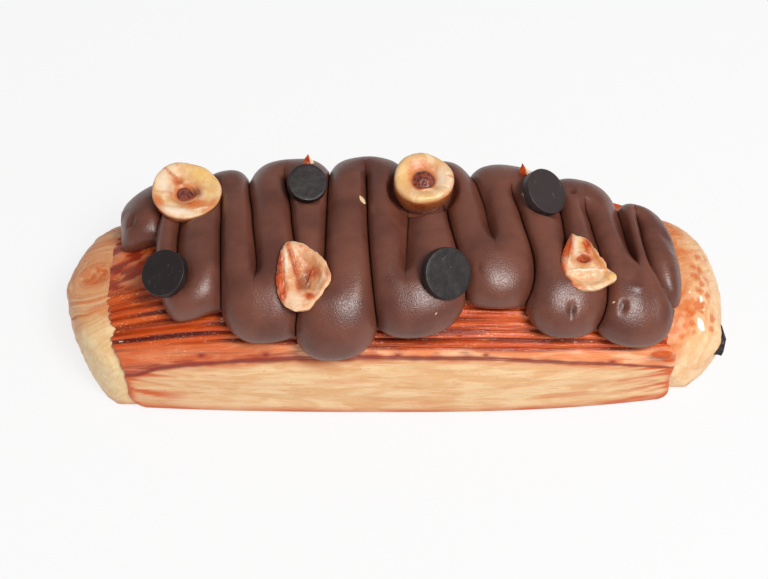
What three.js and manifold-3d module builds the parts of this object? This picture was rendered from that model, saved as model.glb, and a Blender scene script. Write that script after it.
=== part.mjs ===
// Chocolate log danish: a rolled puff pastry log under a ridged, glazed wrap, with chocolate ganache piped
// over it in a tight zigzag, hazelnut halves and pieces and dark chocolate discs pressed into the ganache,
// and a chocolate baton that runs through the roll and shows at its right end.
// Millimetres, +Z up, the log lies along X with its seam on the -Y side and its flat base at Z = 0.
import * as THREE from "three";
import { LoftGeometry } from "three/addons/geometries/LoftGeometry.js";
import { mergeVertices } from "three/addons/utils/BufferGeometryUtils.js";
import Module from "manifold-3d";

const wasm = await Module();
wasm.setup();

const degree = Math.PI / 180;
const touchGap = 0.3; // between pieces that touch
const weldDistance = 1e-4; // points nearer than this are one point

// The roll, measured over its wrap. An angle round it is 0 at the front, 90 on top and 180 at the back.
const roll = {
  halfWidth: 25.8,
  height: 33,
  widestAt: 11,
  topPower: 2.6,
  footPower: 14,
  footSink: 0.3, // the foot is flat this far above where it would be round
  taperLength: 62, // where the ends have narrowed, dropped and bent by the amounts below
  taperPower: 2.5,
  endNarrowing: 5,
  endDrop: 9.4,
  leftBend: -3.2,
  rightBend: -1.0,
};

// The sheet wrapped round the roll: scored lengthwise from its seam up to the ganache, on both sides
const wrap = {
  thickness: 1.3,
  leftEdge: -58.4,
  rightEdge: 60.8,
  edgeSlant: 4.2, // how much further the left edge reaches on top than at the seam
  edgeSlantPower: 1.5,
  edgeCorner: 4.5, // how far the edge draws back round its rounded bottom corner
  bandAngles: [-80, -62, -46, -30, -12, 0, 8], // points round the foot and up the smooth band below the seam
  seamAngle: 15,
  seamHalfWidth: 2.2, // in degrees round the roll
  seamDepth: 0.9,
  ridgeFrom: 25,
  ridgeTo: 73,
  ridgeCount: 9,
  ridgeDepth: 0.5,
  shoulderAngle: 82,
  lengthSteps: 8,
};

// The bulging ends, where the rolled layers show as a spiral
const leftEnd = { side: -1, edge: wrap.leftEdge, slant: wrap.edgeSlant, reach: 15, spiralY: -9, spiralZ: 19 };
const rightEnd = { side: 1, edge: wrap.rightEdge, slant: 0, reach: 12.4, spiralY: -7, spiralZ: 12 };
const endShape = {
  rings: 8,
  power: 2,
  edgeStep: 0.4, // between the wrap's last section and the first of the end
  edgeFollow: 3, // how soon the slant of the wrap's edge dies out towards the middle
  spiralTurns: 3,
  spiralRelief: 0.55,
  reliefRise: 4, // how fast the relief grows inward from the edge
  reliefFall: 3, // and how it dies out towards the middle
};

const baton = { width: 7, height: 4.6, corner: 1.3, y: -11, z: 9, from: -52, to: 74.8, cutBeyond: 10 };

// Each turn of the piping: its place along the log, its angle round the roll, its half width, and how far
// the runs that meet there lie from its middle
const frontTurns = [
  { x: -56.2, angle: 96, half: 4.4, spread: 0 },
  { x: -43.2, angle: 61, half: 7.0, spread: 2.8 },
  { x: -27.8, angle: 48, half: 8.2, spread: 4.3 },
  { x: -11.6, angle: 41, half: 8.4, spread: 4.2 },
  { x: 5.8, angle: 50, half: 9.4, spread: 4.4 },
  { x: 22.7, angle: 63, half: 7.2, spread: 3.3 },
  { x: 36.4, angle: 50, half: 8.7, spread: 4.2 },
  { x: 52.0, angle: 47, half: 8.4, spread: 3.2 },
  { x: 58.8, angle: 66, half: 4.8, spread: 0 },
];
const backTurns = [
  { x: -47.2, angle: 122, half: 6.0, spread: 2.0 },
  { x: -37.6, angle: 114, half: 5.8, spread: 2.2 },
  { x: -22.7, angle: 117, half: 8.5, spread: 4.3 },
  { x: -5.8, angle: 115, half: 7.8, spread: 4.0 },
  { x: 10.3, angle: 110, half: 8.2, spread: 4.1 },
  { x: 24.6, angle: 110, half: 7.2, spread: 3.8 },
  { x: 41.9, angle: 106, half: 7.4, spread: 3.7 },
  { x: 53.4, angle: 95, half: 5.2, spread: 2.6 },
];
// How far the middle of each run strays to +X from the straight line between its two turns
const runSways = [0, -2.2, -0.8, 0.8, 0.6, 0.4, 0, 0, 0, 0, 1.6, 2.6, 0.8, 0.6, 0.6, 2.2];
const run = {
  radius: 4.9,
  lift: 3.7, // height of its middle above the roll
  sides: 10,
  steps: 5,
};
const turnBlob = { lift: 3.4, high: 5.6, long: 6.2, around: 10, rings: 6 };

// The plain copy of the roll that the ganache is cut against, grown by as much as its flat facets cut in
const rollCutter = { around: 36, along: 8, facetDepth: 0.25, beyond: 6 };

// Dark chocolate discs. lean tips a face towards +X, tip towards the back.
const discSizes = { thickness: 1.9, edge: 0.35, sides: 22 };
const discs = [
  { x: -48.4, angle: 67, lift: 9.0, lean: -16, tip: 6, radius: 5.1 },
  { x: -18.5, angle: 97, lift: 9.9, lean: -4, tip: -30, radius: 4.4 },
  { x: 10.8, angle: 62, lift: 9.2, lean: 22, tip: 4, radius: 5.4 },
  { x: 32.2, angle: 96, lift: 9.3, lean: 24, tip: -10, radius: 5.5 },
];

// Hazelnuts cut across, cut face up, with the hollow of the kernel in the middle
const nutHalves = [
  {
    name: "hazelnut_half_left",
    place: { x: -45.2, angle: 104, lift: 9.4, lean: -6, tip: -22, turn: 20 },
    radius: 7.2,
  },
  {
    name: "hazelnut_half_mid",
    place: { x: 6.4, angle: 97, lift: 9.6, lean: 4, tip: -24, turn: 75 },
    radius: 6.8,
  },
];
const nutHalfShape = {
  depth: 5.2,
  sides: 18,
  domeSteps: 5,
  cutAbove: 2, // how far its cutter reaches above the cut face
  // The cut face from the skin inward: how far in from the rim, and its height
  rim: [
    [0.3, 0.7],
    [1.4, 0.9],
    [3.2, 0.3],
  ],
  // The kernel's hollow: radius and height
  hollow: [
    [2.6, -0.1],
    [2.1, -1.3],
    [0.8, -1.7],
    [0, -1.6],
  ],
  ovalness: 0.035,
  threeSidedness: 0.03,
};

// Hazelnuts cut lengthwise: pointed pieces with the cut face outward
const nutWedges = [
  {
    name: "hazelnut_wedge_left",
    place: { x: -19.0, angle: 64.5, lift: 9.0, lean: 10, tip: -8, turn: 100 },
    size: { long: 14.6, wide: 10.6, deep: 5.6 },
  },
  {
    name: "hazelnut_wedge_right",
    place: { x: 40.4, angle: 71, lift: 9.0, lean: 8, tip: -12, turn: 118 },
    size: { long: 13.2, wide: 8.8, deep: 5.0 },
  },
];
const nutWedgeShape = {
  steps: 10,
  around: 12,
  pointed: 0.72, // below 1 the widest place lies nearer the blunt end
  fullness: 0.8, // below 1 the outline is fuller than a sine
  bluntStart: 0.04, // where the outline starts and stops, as shares of its length
  bluntStop: 0.97,
  middle: 0.55,
  crown: 0.7,
  faceHeight: 0.4,
  hollowDepth: 0.9,
  hollowLength: 3,
  cutAbove: 1.5,
};

const nutChips = [
  {
    name: "hazelnut_chip_left",
    place: { x: -19.0, angle: 117, lift: 8.0, turn: 20 },
    size: { long: 3.6, wide: 2.8, high: 4.4 },
  },
  {
    name: "hazelnut_chip_mid",
    place: { x: 28.0, angle: 110, lift: 8.2, turn: -15 },
    size: { long: 4.6, wide: 3.2, high: 4.8 },
  },
];
const nutChipShape = { around: 10, rings: 7, peak: 0.35 };

const paint = (color, roughness) => new THREE.MeshStandardMaterial({ color, roughness, metalness: 0 });
const crust = paint(0xc98a4b, 0.6);
const ganacheBrown = paint(0x5e3d33, 0.4);
const darkChocolate = paint(0x2c2423, 0.45);
const nutFlesh = paint(0xe6c08c, 0.55);

const signedPower = (value, power) => Math.sign(value) * Math.abs(value) ** power;

// Half width, height above and below the widest line, and sideways bend of the roll's section at x
function sectionAt(x, inset = 0) {
  const fall = (Math.abs(x) / roll.taperLength) ** roll.taperPower;
  return {
    wide: roll.halfWidth - roll.endNarrowing * fall - inset,
    above: roll.height - roll.endDrop * fall - inset - roll.widestAt,
    below: roll.widestAt + roll.footSink,
    middle: (x < 0 ? roll.leftBend : roll.rightBend) * fall,
  };
}

// The point of the roll at an angle, lifted off its skin, and the direction straight out of the skin there
function skinAt(x, angle, lift = 0, inset = 0) {
  const { wide, above, below, middle } = sectionAt(x, inset);
  const isTop = Math.sin(angle) >= 0;
  const tall = isTop ? above : below;
  const power = isTop ? roll.topPower : roll.footPower;
  const y = -wide * signedPower(Math.cos(angle), 2 / power);
  const z = tall * signedPower(Math.sin(angle), 2 / power);
  const out = new THREE.Vector3(
    0,
    signedPower(y / wide, power - 1) / wide,
    signedPower(z / tall, power - 1) / tall,
  ).normalize();
  const point = new THREE.Vector3(x, y + middle, Math.max(z + roll.widestAt, 0)).addScaledVector(out, lift);
  return { point, out };
}

// The points round a section: the angle of each and how deep the scoring cuts in there. They go from the
// flat foot over the smooth band, the seam's groove, the blunt ridges and the smooth top, and down the back.
function sectionPoints() {
  const front = wrap.bandAngles.map((angle) => ({ angle, depth: 0 }));
  front.push({ angle: wrap.seamAngle - wrap.seamHalfWidth, depth: 0 });
  front.push({ angle: wrap.seamAngle, depth: wrap.seamDepth });
  front.push({ angle: wrap.seamAngle + wrap.seamHalfWidth, depth: 0 });
  const ridge = (wrap.ridgeTo - wrap.ridgeFrom) / wrap.ridgeCount;
  for (let i = 0; i < wrap.ridgeCount; i++) {
    front.push({ angle: wrap.ridgeFrom + i * ridge, depth: wrap.ridgeDepth });
    front.push({ angle: wrap.ridgeFrom + (i + 0.5) * ridge, depth: 0 });
  }
  front.push({ angle: wrap.ridgeTo, depth: wrap.ridgeDepth });
  front.push({ angle: wrap.shoulderAngle, depth: 0 });
  const back = front.map(({ angle, depth }) => ({ angle: 180 - angle, depth })).reverse();
  const round = [...front, { angle: 90, depth: 0 }, ...back].reverse();
  return round.map(({ angle, depth }) => ({ angle: angle * degree, depth }));
}

// The wrap's edge at an angle: furthest out on top of the left end, drawn back round the bottom corners
function wrapEdge(end, angle) {
  const up = Math.sin(angle);
  const draw = up > 0 ? end.slant * up ** wrap.edgeSlantPower : -wrap.edgeCorner * up ** 2;
  return end.edge + end.side * draw;
}

// One ring of a bulging end. share is 1 at the wrap's edge and 0 at the middle of the spiral.
function endRing(end, points, share) {
  const { wide, above, below, middle } = sectionAt(end.edge, wrap.thickness);
  const { power: dome, edgeStep, edgeFollow, spiralTurns, spiralRelief, reliefRise, reliefFall } = endShape;
  return points.map(({ angle }) => {
    const rim = skinAt(end.edge, angle, 0, wrap.thickness).point;
    const y = THREE.MathUtils.lerp(end.spiralY, rim.y, share);
    const z = THREE.MathUtils.lerp(end.spiralZ, rim.z, share);
    const isTop = z > roll.widestAt;
    const power = isTop ? roll.topPower : roll.footPower;
    const tall = isTop ? above : below;
    const sum = Math.abs((y - middle) / wide) ** power + Math.abs((z - roll.widestAt) / tall) ** power;
    const radial = Math.min(sum ** (1 / power), 1);
    const bulge = end.reach * (1 - radial ** dome) ** (1 / dome);
    const wave = Math.sin(2 * Math.PI * spiralTurns * share - end.side * angle);
    const relief = spiralRelief * wave * Math.min(1, reliefRise * (1 - share), reliefFall * share ** 2);
    const root = (wrapEdge(end, angle) - end.edge) * share ** edgeFollow;
    return new THREE.Vector3(end.edge + root + end.side * (bulge + relief + edgeStep), y, Math.max(z, 0));
  });
}

function pastryGeometry() {
  const points = sectionPoints();
  const sections = [];
  const shares = [];
  for (let i = 0; i < endShape.rings; i++) {
    shares.push(Math.sin(((i + 0.5) / endShape.rings) * (Math.PI / 2)));
  }
  for (const share of shares) sections.push(endRing(leftEnd, points, share));
  sections.push(endRing(leftEnd, points, 1));
  for (let i = 0; i <= wrap.lengthSteps; i++) {
    const along = i / wrap.lengthSteps;
    const ring = points.map(({ angle, depth }) => {
      const from = wrapEdge(leftEnd, angle);
      const to = wrapEdge(rightEnd, angle);
      const x = THREE.MathUtils.lerp(from, to, along);
      return skinAt(x, angle, -depth).point;
    });
    sections.push(ring);
  }
  sections.push(endRing(rightEnd, points, 1));
  for (const share of shares.reverse()) sections.push(endRing(rightEnd, points, share));
  return new LoftGeometry(sections, { closed: true, capStart: true, capEnd: true });
}

function rollCutterGeometry() {
  const { around, along, facetDepth, beyond } = rollCutter;
  const sections = [];
  for (let i = 0; i <= along; i++) {
    const x = THREE.MathUtils.lerp(wrap.leftEdge - beyond, wrap.rightEdge + beyond, i / along);
    const ring = [];
    for (let j = 0; j < around; j++) {
      ring.push(skinAt(x, (-(j + 0.5) / around) * 2 * Math.PI, touchGap + facetDepth).point);
    }
    sections.push(ring);
  }
  return new LoftGeometry(sections, { closed: true, capStart: true, capEnd: true });
}

// A run of piping over the roll, from one turn to the next
function runGeometry(start, end, sway) {
  const centre = (t) => {
    const x = THREE.MathUtils.lerp(start.x, end.x, t) + sway * Math.sin(Math.PI * t);
    return skinAt(x, THREE.MathUtils.lerp(start.angle, end.angle, t) * degree, run.lift);
  };
  const sections = [];
  const near = 0.01;
  for (let i = 0; i <= run.steps; i++) {
    const t = i / run.steps;
    const here = centre(t);
    const along = centre(t + near).point.sub(centre(t - near).point).normalize();
    const side = new THREE.Vector3().crossVectors(here.out, along).normalize();
    const atTurn = THREE.MathUtils.lerp(start.room, end.room, t);
    const radius = THREE.MathUtils.lerp(atTurn, run.radius, Math.sqrt(Math.sin(Math.PI * t)));
    const ring = [];
    for (let j = 0; j < run.sides; j++) {
      const a = (j / run.sides) * 2 * Math.PI;
      const point = here.point.clone();
      point.addScaledVector(side, radius * Math.cos(a));
      point.addScaledVector(here.out, radius * Math.sin(a));
      ring.push(point);
    }
    sections.push(ring);
  }
  return new LoftGeometry(sections, { closed: true, capStart: true, capEnd: true });
}

// The place on the roll of a geometry that was made round the origin, facing +Z
function placeOnRoll({ x, angle, lift, lean = 0, tip = 0, turn = 0 }) {
  const { point, out } = skinAt(x, angle * degree, lift);
  const alongLog = new THREE.Vector3(1, 0, 0);
  const backward = new THREE.Vector3().crossVectors(out, alongLog);
  const basis = new THREE.Matrix4().makeBasis(alongLog, backward, out);
  const place = new THREE.Object3D();
  place.quaternion.setFromRotationMatrix(basis);
  place.rotateX(-tip * degree);
  place.rotateY(lean * degree);
  place.rotateZ(turn * degree);
  place.position.copy(point);
  place.updateMatrix();
  return place.matrix;
}

// A geometry as a solid for cutting and joining
function solidOf(geometry, matrix) {
  const bare = new THREE.BufferGeometry().copy(geometry);
  bare.deleteAttribute("normal");
  bare.deleteAttribute("uv");
  const merged = mergeVertices(bare, weldDistance);
  if (matrix) merged.applyMatrix4(matrix);
  const index = merged.getIndex().array;
  const kept = [];
  for (let i = 0; i < index.length; i += 3) {
    const [a, b, c] = [index[i], index[i + 1], index[i + 2]];
    if (a !== b && b !== c && c !== a) kept.push(a, b, c);
  }
  const vertProperties = new Float32Array(merged.getAttribute("position").array);
  return new wasm.Manifold(new wasm.Mesh({ numProp: 3, vertProperties, triVerts: new Uint32Array(kept) }));
}

function geometryOf(solid) {
  const { vertProperties, triVerts, numProp } = solid.getMesh();
  const positions = new Float32Array((vertProperties.length / numProp) * 3);
  for (let i = 0; i < positions.length / 3; i++) {
    for (let k = 0; k < 3; k++) positions[3 * i + k] = vertProperties[numProp * i + k];
  }
  const geometry = new THREE.BufferGeometry();
  geometry.setAttribute("position", new THREE.BufferAttribute(positions, 3));
  geometry.setIndex(new THREE.BufferAttribute(new Uint32Array(triVerts), 1));
  geometry.computeVertexNormals();
  return geometry;
}

// The big rounded mass where the piping turns back on itself
function turnSolid(turn) {
  const blob = new THREE.SphereGeometry(1, turnBlob.around, turnBlob.rings);
  blob.scale(turn.half, Math.min(turnBlob.long, turn.half), turnBlob.high);
  return solidOf(blob, placeOnRoll({ x: turn.x, angle: turn.angle, lift: turnBlob.lift }));
}

// All runs and turns of the piping joined, from the left end to the right
function pipedSolid() {
  let joined = null;
  const add = (solid) => {
    joined = joined ? joined.add(solid) : solid;
  };
  const beside = (turn, way) => ({
    x: turn.x + way * turn.spread,
    angle: turn.angle,
    room: Math.min(turn.half - turn.spread, run.radius),
  });
  frontTurns.forEach((front, i) => {
    add(turnSolid(front));
    if (i > 0) {
      const before = backTurns[i - 1];
      add(solidOf(runGeometry(beside(before, 1), beside(front, -1), runSways[2 * i - 1])));
    }
    if (i < backTurns.length) {
      add(turnSolid(backTurns[i]));
      add(solidOf(runGeometry(beside(front, 1), beside(backTurns[i], -1), runSways[2 * i])));
    }
  });
  return joined;
}

// A thin round with softened edges. A grown one, for cutting, has half the sides and stands clear of all.
function discGeometry(radius, grow = 0) {
  const sides = grow ? discSizes.sides / 2 : discSizes.sides;
  const r = grow ? (radius + grow) / Math.cos(Math.PI / sides) : radius;
  const half = discSizes.thickness / 2 + grow;
  const edge = discSizes.edge;
  const profile = [
    [0, -half],
    [r - edge, -half],
    [r, -half + edge],
    [r, half - edge],
    [r - edge, half],
    [0, half],
  ].map(([x, y]) => new THREE.Vector2(x, y));
  return new THREE.LatheGeometry(profile, sides).rotateX(Math.PI / 2);
}

// A nut cut across: a dome below, a dished cut face above with the kernel's hollow in it
function nutHalfGeometry(radius, grow = 0) {
  const { depth, sides, domeSteps, cutAbove, rim, hollow, ovalness, threeSidedness } = nutHalfShape;
  const r = radius + grow;
  const profile = [];
  for (let i = 0; i <= domeSteps; i++) {
    const a = (i / domeSteps) * (Math.PI / 2);
    profile.push([r * Math.sin(a), -(depth + grow) * Math.cos(a)]);
  }
  if (grow > 0) profile.push([r, cutAbove], [0, cutAbove]);
  else profile.push(...rim.map(([inward, height]) => [r - inward, height]), ...hollow);
  const points = profile.map(([x, y]) => new THREE.Vector2(x, y));
  const geometry = new THREE.LatheGeometry(points, sides).rotateX(Math.PI / 2);
  return reshape(geometry, (p) => {
    const around = Math.atan2(p.y, p.x);
    const swell = 1 + ovalness * Math.cos(2 * around) + threeSidedness * Math.cos(3 * around + 1);
    p.x *= swell;
    p.y *= swell;
  });
}

// A nut cut lengthwise: a pointed outline, rounded below, with a hollow along its cut face
function nutWedgeGeometry({ long, wide, deep }, grow = 0) {
  const shape = nutWedgeShape;
  const sections = [];
  for (let i = 0; i <= shape.steps; i++) {
    const s = THREE.MathUtils.lerp(shape.bluntStart, shape.bluntStop, i / shape.steps);
    const half = (wide / 2) * Math.sin(Math.PI * s ** shape.pointed) ** shape.fullness + grow;
    const drop = (half / (wide / 2)) * deep;
    const x = (s - shape.middle) * (long + 2 * grow);
    const dish = shape.hollowDepth * Math.exp(-((x / shape.hollowLength) ** 2));
    const ring = [];
    for (let j = 0; j < shape.around; j++) {
      const a = (j / shape.around) * 2 * Math.PI;
      const up = Math.sin(a);
      const face = shape.crown * up + shape.faceHeight + (grow ? shape.cutAbove : -dish * up ** 2);
      ring.push(new THREE.Vector3(x, half * Math.cos(a), up < 0 ? drop * up : face));
    }
    sections.push(ring);
  }
  return new LoftGeometry(sections, { closed: true, capStart: true, capEnd: true });
}

// A broken bit of nut: a lumpy pebble with a peak
function nutChipGeometry({ long, wide, high }, grow = 0) {
  const pebble = new THREE.SphereGeometry(1, nutChipShape.around, nutChipShape.rings).rotateX(Math.PI / 2);
  return reshape(pebble, (p) => {
    const peak = 1 + nutChipShape.peak * Math.max(0, p.z);
    p.set(p.x * (long / 2 + grow), p.y * (wide / 2 + grow), p.z * (high / 2 + grow) * peak);
  });
}

// Moves every point of a geometry by a rule
function reshape(geometry, rule) {
  const positions = geometry.getAttribute("position");
  const p = new THREE.Vector3();
  for (let i = 0; i < positions.count; i++) {
    p.fromBufferAttribute(positions, i);
    rule(p);
    positions.setXYZ(i, p.x, p.y, p.z);
  }
  return geometry;
}

function batonGeometry(grow = 0) {
  const w = baton.width / 2 + grow;
  const h = baton.height / 2 + grow;
  const r = baton.corner;
  const outline = new THREE.Shape();
  outline.moveTo(-w + r, -h).lineTo(w - r, -h).quadraticCurveTo(w, -h, w, -h + r);
  outline.lineTo(w, h - r).quadraticCurveTo(w, h, w - r, h);
  outline.lineTo(-w + r, h).quadraticCurveTo(-w, h, -w, h - r);
  outline.lineTo(-w, -h + r).quadraticCurveTo(-w, -h, -w + r, -h);
  const depth = baton.to - baton.from + (grow ? baton.cutBeyond : 0);
  const bar = new THREE.ExtrudeGeometry(outline, { depth, bevelEnabled: false, curveSegments: 3 });
  bar.rotateZ(Math.PI / 2).rotateY(Math.PI / 2);
  return bar.translate(baton.from - grow, baton.y, baton.z);
}

const danish = new THREE.Group();

function addPiece(name, solid, material) {
  const mesh = new THREE.Mesh(geometryOf(solid), material);
  mesh.name = name;
  danish.add(mesh);
}

const toppings = [];
discs.forEach((disc, i) => {
  const shape = (grow) => discGeometry(disc.radius, grow);
  toppings.push({ name: `chocolate_disc_${i + 1}`, place: disc, material: darkChocolate, shape });
});
for (const { name, place, radius } of nutHalves) {
  toppings.push({ name, place, material: nutFlesh, shape: (grow) => nutHalfGeometry(radius, grow) });
}
for (const { name, place, size } of nutWedges) {
  toppings.push({ name, place, material: nutFlesh, shape: (grow) => nutWedgeGeometry(size, grow) });
}
for (const { name, place, size } of nutChips) {
  toppings.push({ name, place, material: nutFlesh, shape: (grow) => nutChipGeometry(size, grow) });
}

let ganache = pipedSolid().subtract(solidOf(rollCutterGeometry()));
for (const { name, place, material, shape } of toppings) {
  const matrix = placeOnRoll(place);
  addPiece(name, solidOf(shape(0), matrix), material);
  ganache = ganache.subtract(solidOf(shape(touchGap), matrix));
}

addPiece("pastry", solidOf(pastryGeometry()).subtract(solidOf(batonGeometry(touchGap))), crust);
addPiece("chocolate_baton", solidOf(batonGeometry()), darkChocolate);
addPiece("ganache", ganache, ganacheBrown);
const middle = new THREE.Box3().setFromObject(danish).getCenter(new THREE.Vector3());
danish.position.set(-middle.x, -middle.y, 0);

export default danish;
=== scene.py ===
import math

import bmesh
import bpy
import numpy as np
from mathutils import Matrix, Vector, noise
from mathutils.bvhtree import BVHTree


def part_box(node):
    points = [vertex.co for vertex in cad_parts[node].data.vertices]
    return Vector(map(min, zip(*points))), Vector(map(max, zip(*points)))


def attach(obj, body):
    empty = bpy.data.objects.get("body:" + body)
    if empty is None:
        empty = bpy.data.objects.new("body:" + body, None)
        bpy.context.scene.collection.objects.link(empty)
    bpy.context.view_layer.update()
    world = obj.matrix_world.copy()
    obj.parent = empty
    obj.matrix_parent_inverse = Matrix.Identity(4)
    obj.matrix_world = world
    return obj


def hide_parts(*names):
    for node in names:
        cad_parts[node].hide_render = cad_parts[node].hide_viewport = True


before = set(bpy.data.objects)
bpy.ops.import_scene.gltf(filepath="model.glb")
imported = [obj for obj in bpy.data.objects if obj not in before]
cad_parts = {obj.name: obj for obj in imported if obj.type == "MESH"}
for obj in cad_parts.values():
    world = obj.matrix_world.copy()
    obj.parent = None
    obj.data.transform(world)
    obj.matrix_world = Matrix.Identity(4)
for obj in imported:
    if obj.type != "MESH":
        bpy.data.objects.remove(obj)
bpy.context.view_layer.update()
print("frame loaded")

# The shapes are worked out in millimetres on the log's own axis and set into the frame at the end.
# An angle round the log is 0 at the front, 90 on top and 180 at the back.
mm = 0.001
degree = math.pi / 180
roll = {
    "halfWidth": 25.8,
    "height": 33.0,
    "widestAt": 11.0,
    "topPower": 2.6,
    "footPower": 14.0,
    "footSink": 0.3,
    "taperLength": 62.0,
    "taperPower": 2.5,
    "endNarrowing": 5.0,
    "endDrop": 9.4,
    "leftBend": -3.2,
    "rightBend": -1.0,
}
baton = {"width": 7.0, "height": 4.6, "y": -11.0, "z": 9.0, "from": -52.0, "to": 74.8, "past": 0.7}

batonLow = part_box("chocolate_baton")[0]
logOrigin = Vector((batonLow.x - baton["from"] * mm, batonLow.y - (baton["y"] - baton["width"] / 2) * mm, 0))
toFrame = Matrix.Translation(logOrigin) @ Matrix.Scale(mm, 4)


def signedPower(value, power):
    # A value that is nought but for rounding counts as nought, so that both sides of a seam meet
    value = np.where(np.abs(value) < 1e-9, 0, value)
    return np.sign(value) * np.abs(value) ** power


def ramp(low, high, value):
    t = np.clip((value - low) / (high - low), 0.0, 1.0)
    return t * t * (3 - 2 * t)


def hill(value, middle, width):
    return np.exp(-(((value - middle) / width) ** 2))


def wander(points, size, seed=0.0):
    # Smooth random values from -1 to 1 at each point; every seed reads them from a place of its own
    seedStep = 17.3
    size = np.broadcast_to(np.asarray(size, float), (3,))
    spots = points / size + seedStep * (seed + 1)
    return np.array([noise.noise(Vector(p)) for p in spots])


def rollSection(x):
    # Half width, height over the widest line and sideways bend of the roll at each x
    fall = (np.abs(x) / roll["taperLength"]) ** roll["taperPower"]
    wide = roll["halfWidth"] - roll["endNarrowing"] * fall
    above = roll["height"] - roll["endDrop"] * fall - roll["widestAt"]
    return wide, above, np.where(x < 0, roll["leftBend"], roll["rightBend"]) * fall


def outlineAt(angle, wide, above):
    # The roll's outline at an angle in radians: across and up from its widest line, then its height and power
    isTop = np.sin(angle) >= 0
    tall = np.where(isTop, above, roll["widestAt"] + roll["footSink"])
    power = np.where(isTop, roll["topPower"], roll["footPower"])
    y = -wide * signedPower(np.cos(angle), 2 / power)
    return y, tall * signedPower(np.sin(angle), 2 / power), tall, power


def skinAt(x, angle, lift=0.0):
    # The point of the roll at x and an angle in degrees, lifted off its skin, and the way straight out there
    x, angle, lift = np.broadcast_arrays(np.asarray(x, float), np.asarray(angle, float) * degree, lift)
    wide, above, middle = rollSection(x)
    y, z, tall, power = outlineAt(angle, wide, above)
    outY = signedPower(y / wide, power - 1) / wide
    outZ = signedPower(z / tall, power - 1) / tall
    length = np.hypot(outY, outZ)
    out = np.stack([0 * x, outY / length, outZ / length], -1)
    point = np.stack([x, y + middle, np.maximum(z + roll["widestAt"], 0)], -1)
    return point + out * lift[..., None], out


# Distance up the front of the roll and over its top, in millimetres, against the angle
arcAngles = np.linspace(0, 180, 721)
arcSteps = np.linalg.norm(np.diff(skinAt(0, arcAngles)[0], axis=0), axis=1)
arcLengths = np.concatenate([[0], np.cumsum(arcSteps)])


def arcAt(angle):
    return np.interp(angle, arcAngles, arcLengths)


def angleAt(arc):
    return np.interp(arc, arcLengths, arcAngles)


def placeOnRoll(place):
    # The matrix that sets a shape made round the origin, facing +Z, on the roll
    point, out = skinAt(place["x"], place["angle"], place["lift"])
    along = Vector((1, 0, 0))
    out = Vector(out)
    matrix = Matrix.Translation(Vector(point)) @ Matrix((along, out.cross(along), out)).transposed().to_4x4()
    for key, axis, way in (("tip", "X", -1), ("lean", "Y", 1), ("turn", "Z", 1)):
        matrix = matrix @ Matrix.Rotation(way * place.get(key, 0) * degree, 4, axis)
    return matrix


def newShape(*marks, flow=False):
    # An empty shape whose points can hold marks and, with flow, a place along and across its own grain
    shape = bmesh.new()
    for mark in marks:
        shape.verts.layers.float.new(mark)
    if flow:
        shape.verts.layers.float_vector.new("flow")
    return shape


def setMarks(shape, verts, marks):
    for name, values in marks.items():
        if name == "flow":
            layer = shape.verts.layers.float_vector[name]
        else:
            layer = shape.verts.layers.float[name]
            values = np.broadcast_to(values, len(verts)).astype(float).tolist()
        for v, value in zip(verts, values):
            v[layer] = value


def addGrid(shape, columns, rows, rule):
    # Adds a grid and moves its points where rule(i, j) says; the rule also gives values for the marks
    made = bmesh.ops.create_grid(shape, x_segments=columns, y_segments=rows, size=0.5)["verts"]
    flat = np.array([v.co for v in made])
    i = np.rint((flat[:, 0] + 0.5) * columns).astype(int)
    j = np.rint((flat[:, 1] + 0.5) * rows).astype(int)
    spots, marks = rule(i, j)
    for v, spot in zip(made, spots):
        v.co = spot
    setMarks(shape, made, marks)
    closeUp(shape)


def closeUp(shape, gap=1e-4):
    bmesh.ops.remove_doubles(shape, verts=shape.verts, dist=gap)
    bmesh.ops.dissolve_degenerate(shape, edges=shape.edges, dist=1e-5)
    bmesh.ops.recalc_face_normals(shape, faces=shape.faces)


def smoothPoints(shape, verts, times):
    axes = {"use_axis_x": True, "use_axis_y": True, "use_axis_z": True}
    for _ in range(times):
        bmesh.ops.smooth_vert(shape, verts=verts, factor=0.5, **axes)


def addObject(name, data):
    thing = bpy.data.objects.new(name, data)
    bpy.context.scene.collection.objects.link(thing)
    return thing


def addMesh(name, shape, material):
    mesh = bpy.data.meshes.new(name)
    shape.to_mesh(mesh)
    shape.free()
    mesh.materials.append(material)
    return addObject(name, mesh)


def newPiece(name, shape, material, slot, *nodes):
    bmesh.ops.transform(shape, matrix=toFrame, verts=shape.verts)
    piece = addMesh(name, shape, material)
    piece.data.shade_smooth()
    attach(piece, "root")
    if nodes:
        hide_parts(*nodes)
    print(name, len(piece.data.polygons), "faces")
    return piece


# Materials


def newMaterial(name, **sockets):
    material = bpy.data.materials.new(name)
    material.use_nodes = True
    shader = material.node_tree.nodes["Principled BSDF"]
    for socket, value in sockets.items():
        shader.inputs[socket.replace("_", " ")].default_value = value
    return material, material.node_tree, shader


def plug(socket, value):
    if isinstance(value, bpy.types.NodeSocket):
        socket.id_data.links.new(value, socket)
    else:
        socket.default_value = value


def addNode(tree, kind, inputs=None, **settings):
    node = tree.nodes.new(kind)
    for key, value in settings.items():
        setattr(node, key, value)
    for key, value in (inputs or {}).items():
        plug(node.inputs[key], value)
    return node


def readMarks(tree, *marks):
    return [addNode(tree, "ShaderNodeAttribute", attribute_name=mark).outputs["Fac"] for mark in marks]


def noiseAt(place, scale, detail=3.0, roughness=0.55, distortion=0.0):
    tree = place.id_data
    place = addNode(tree, "ShaderNodeMapping", {"Vector": place, "Scale": scale}).outputs["Vector"]
    inputs = {"Vector": place, "Scale": 1, "Detail": detail, "Roughness": roughness, "Distortion": distortion}
    return addNode(tree, "ShaderNodeTexNoise", inputs).outputs["Fac"]


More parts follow.
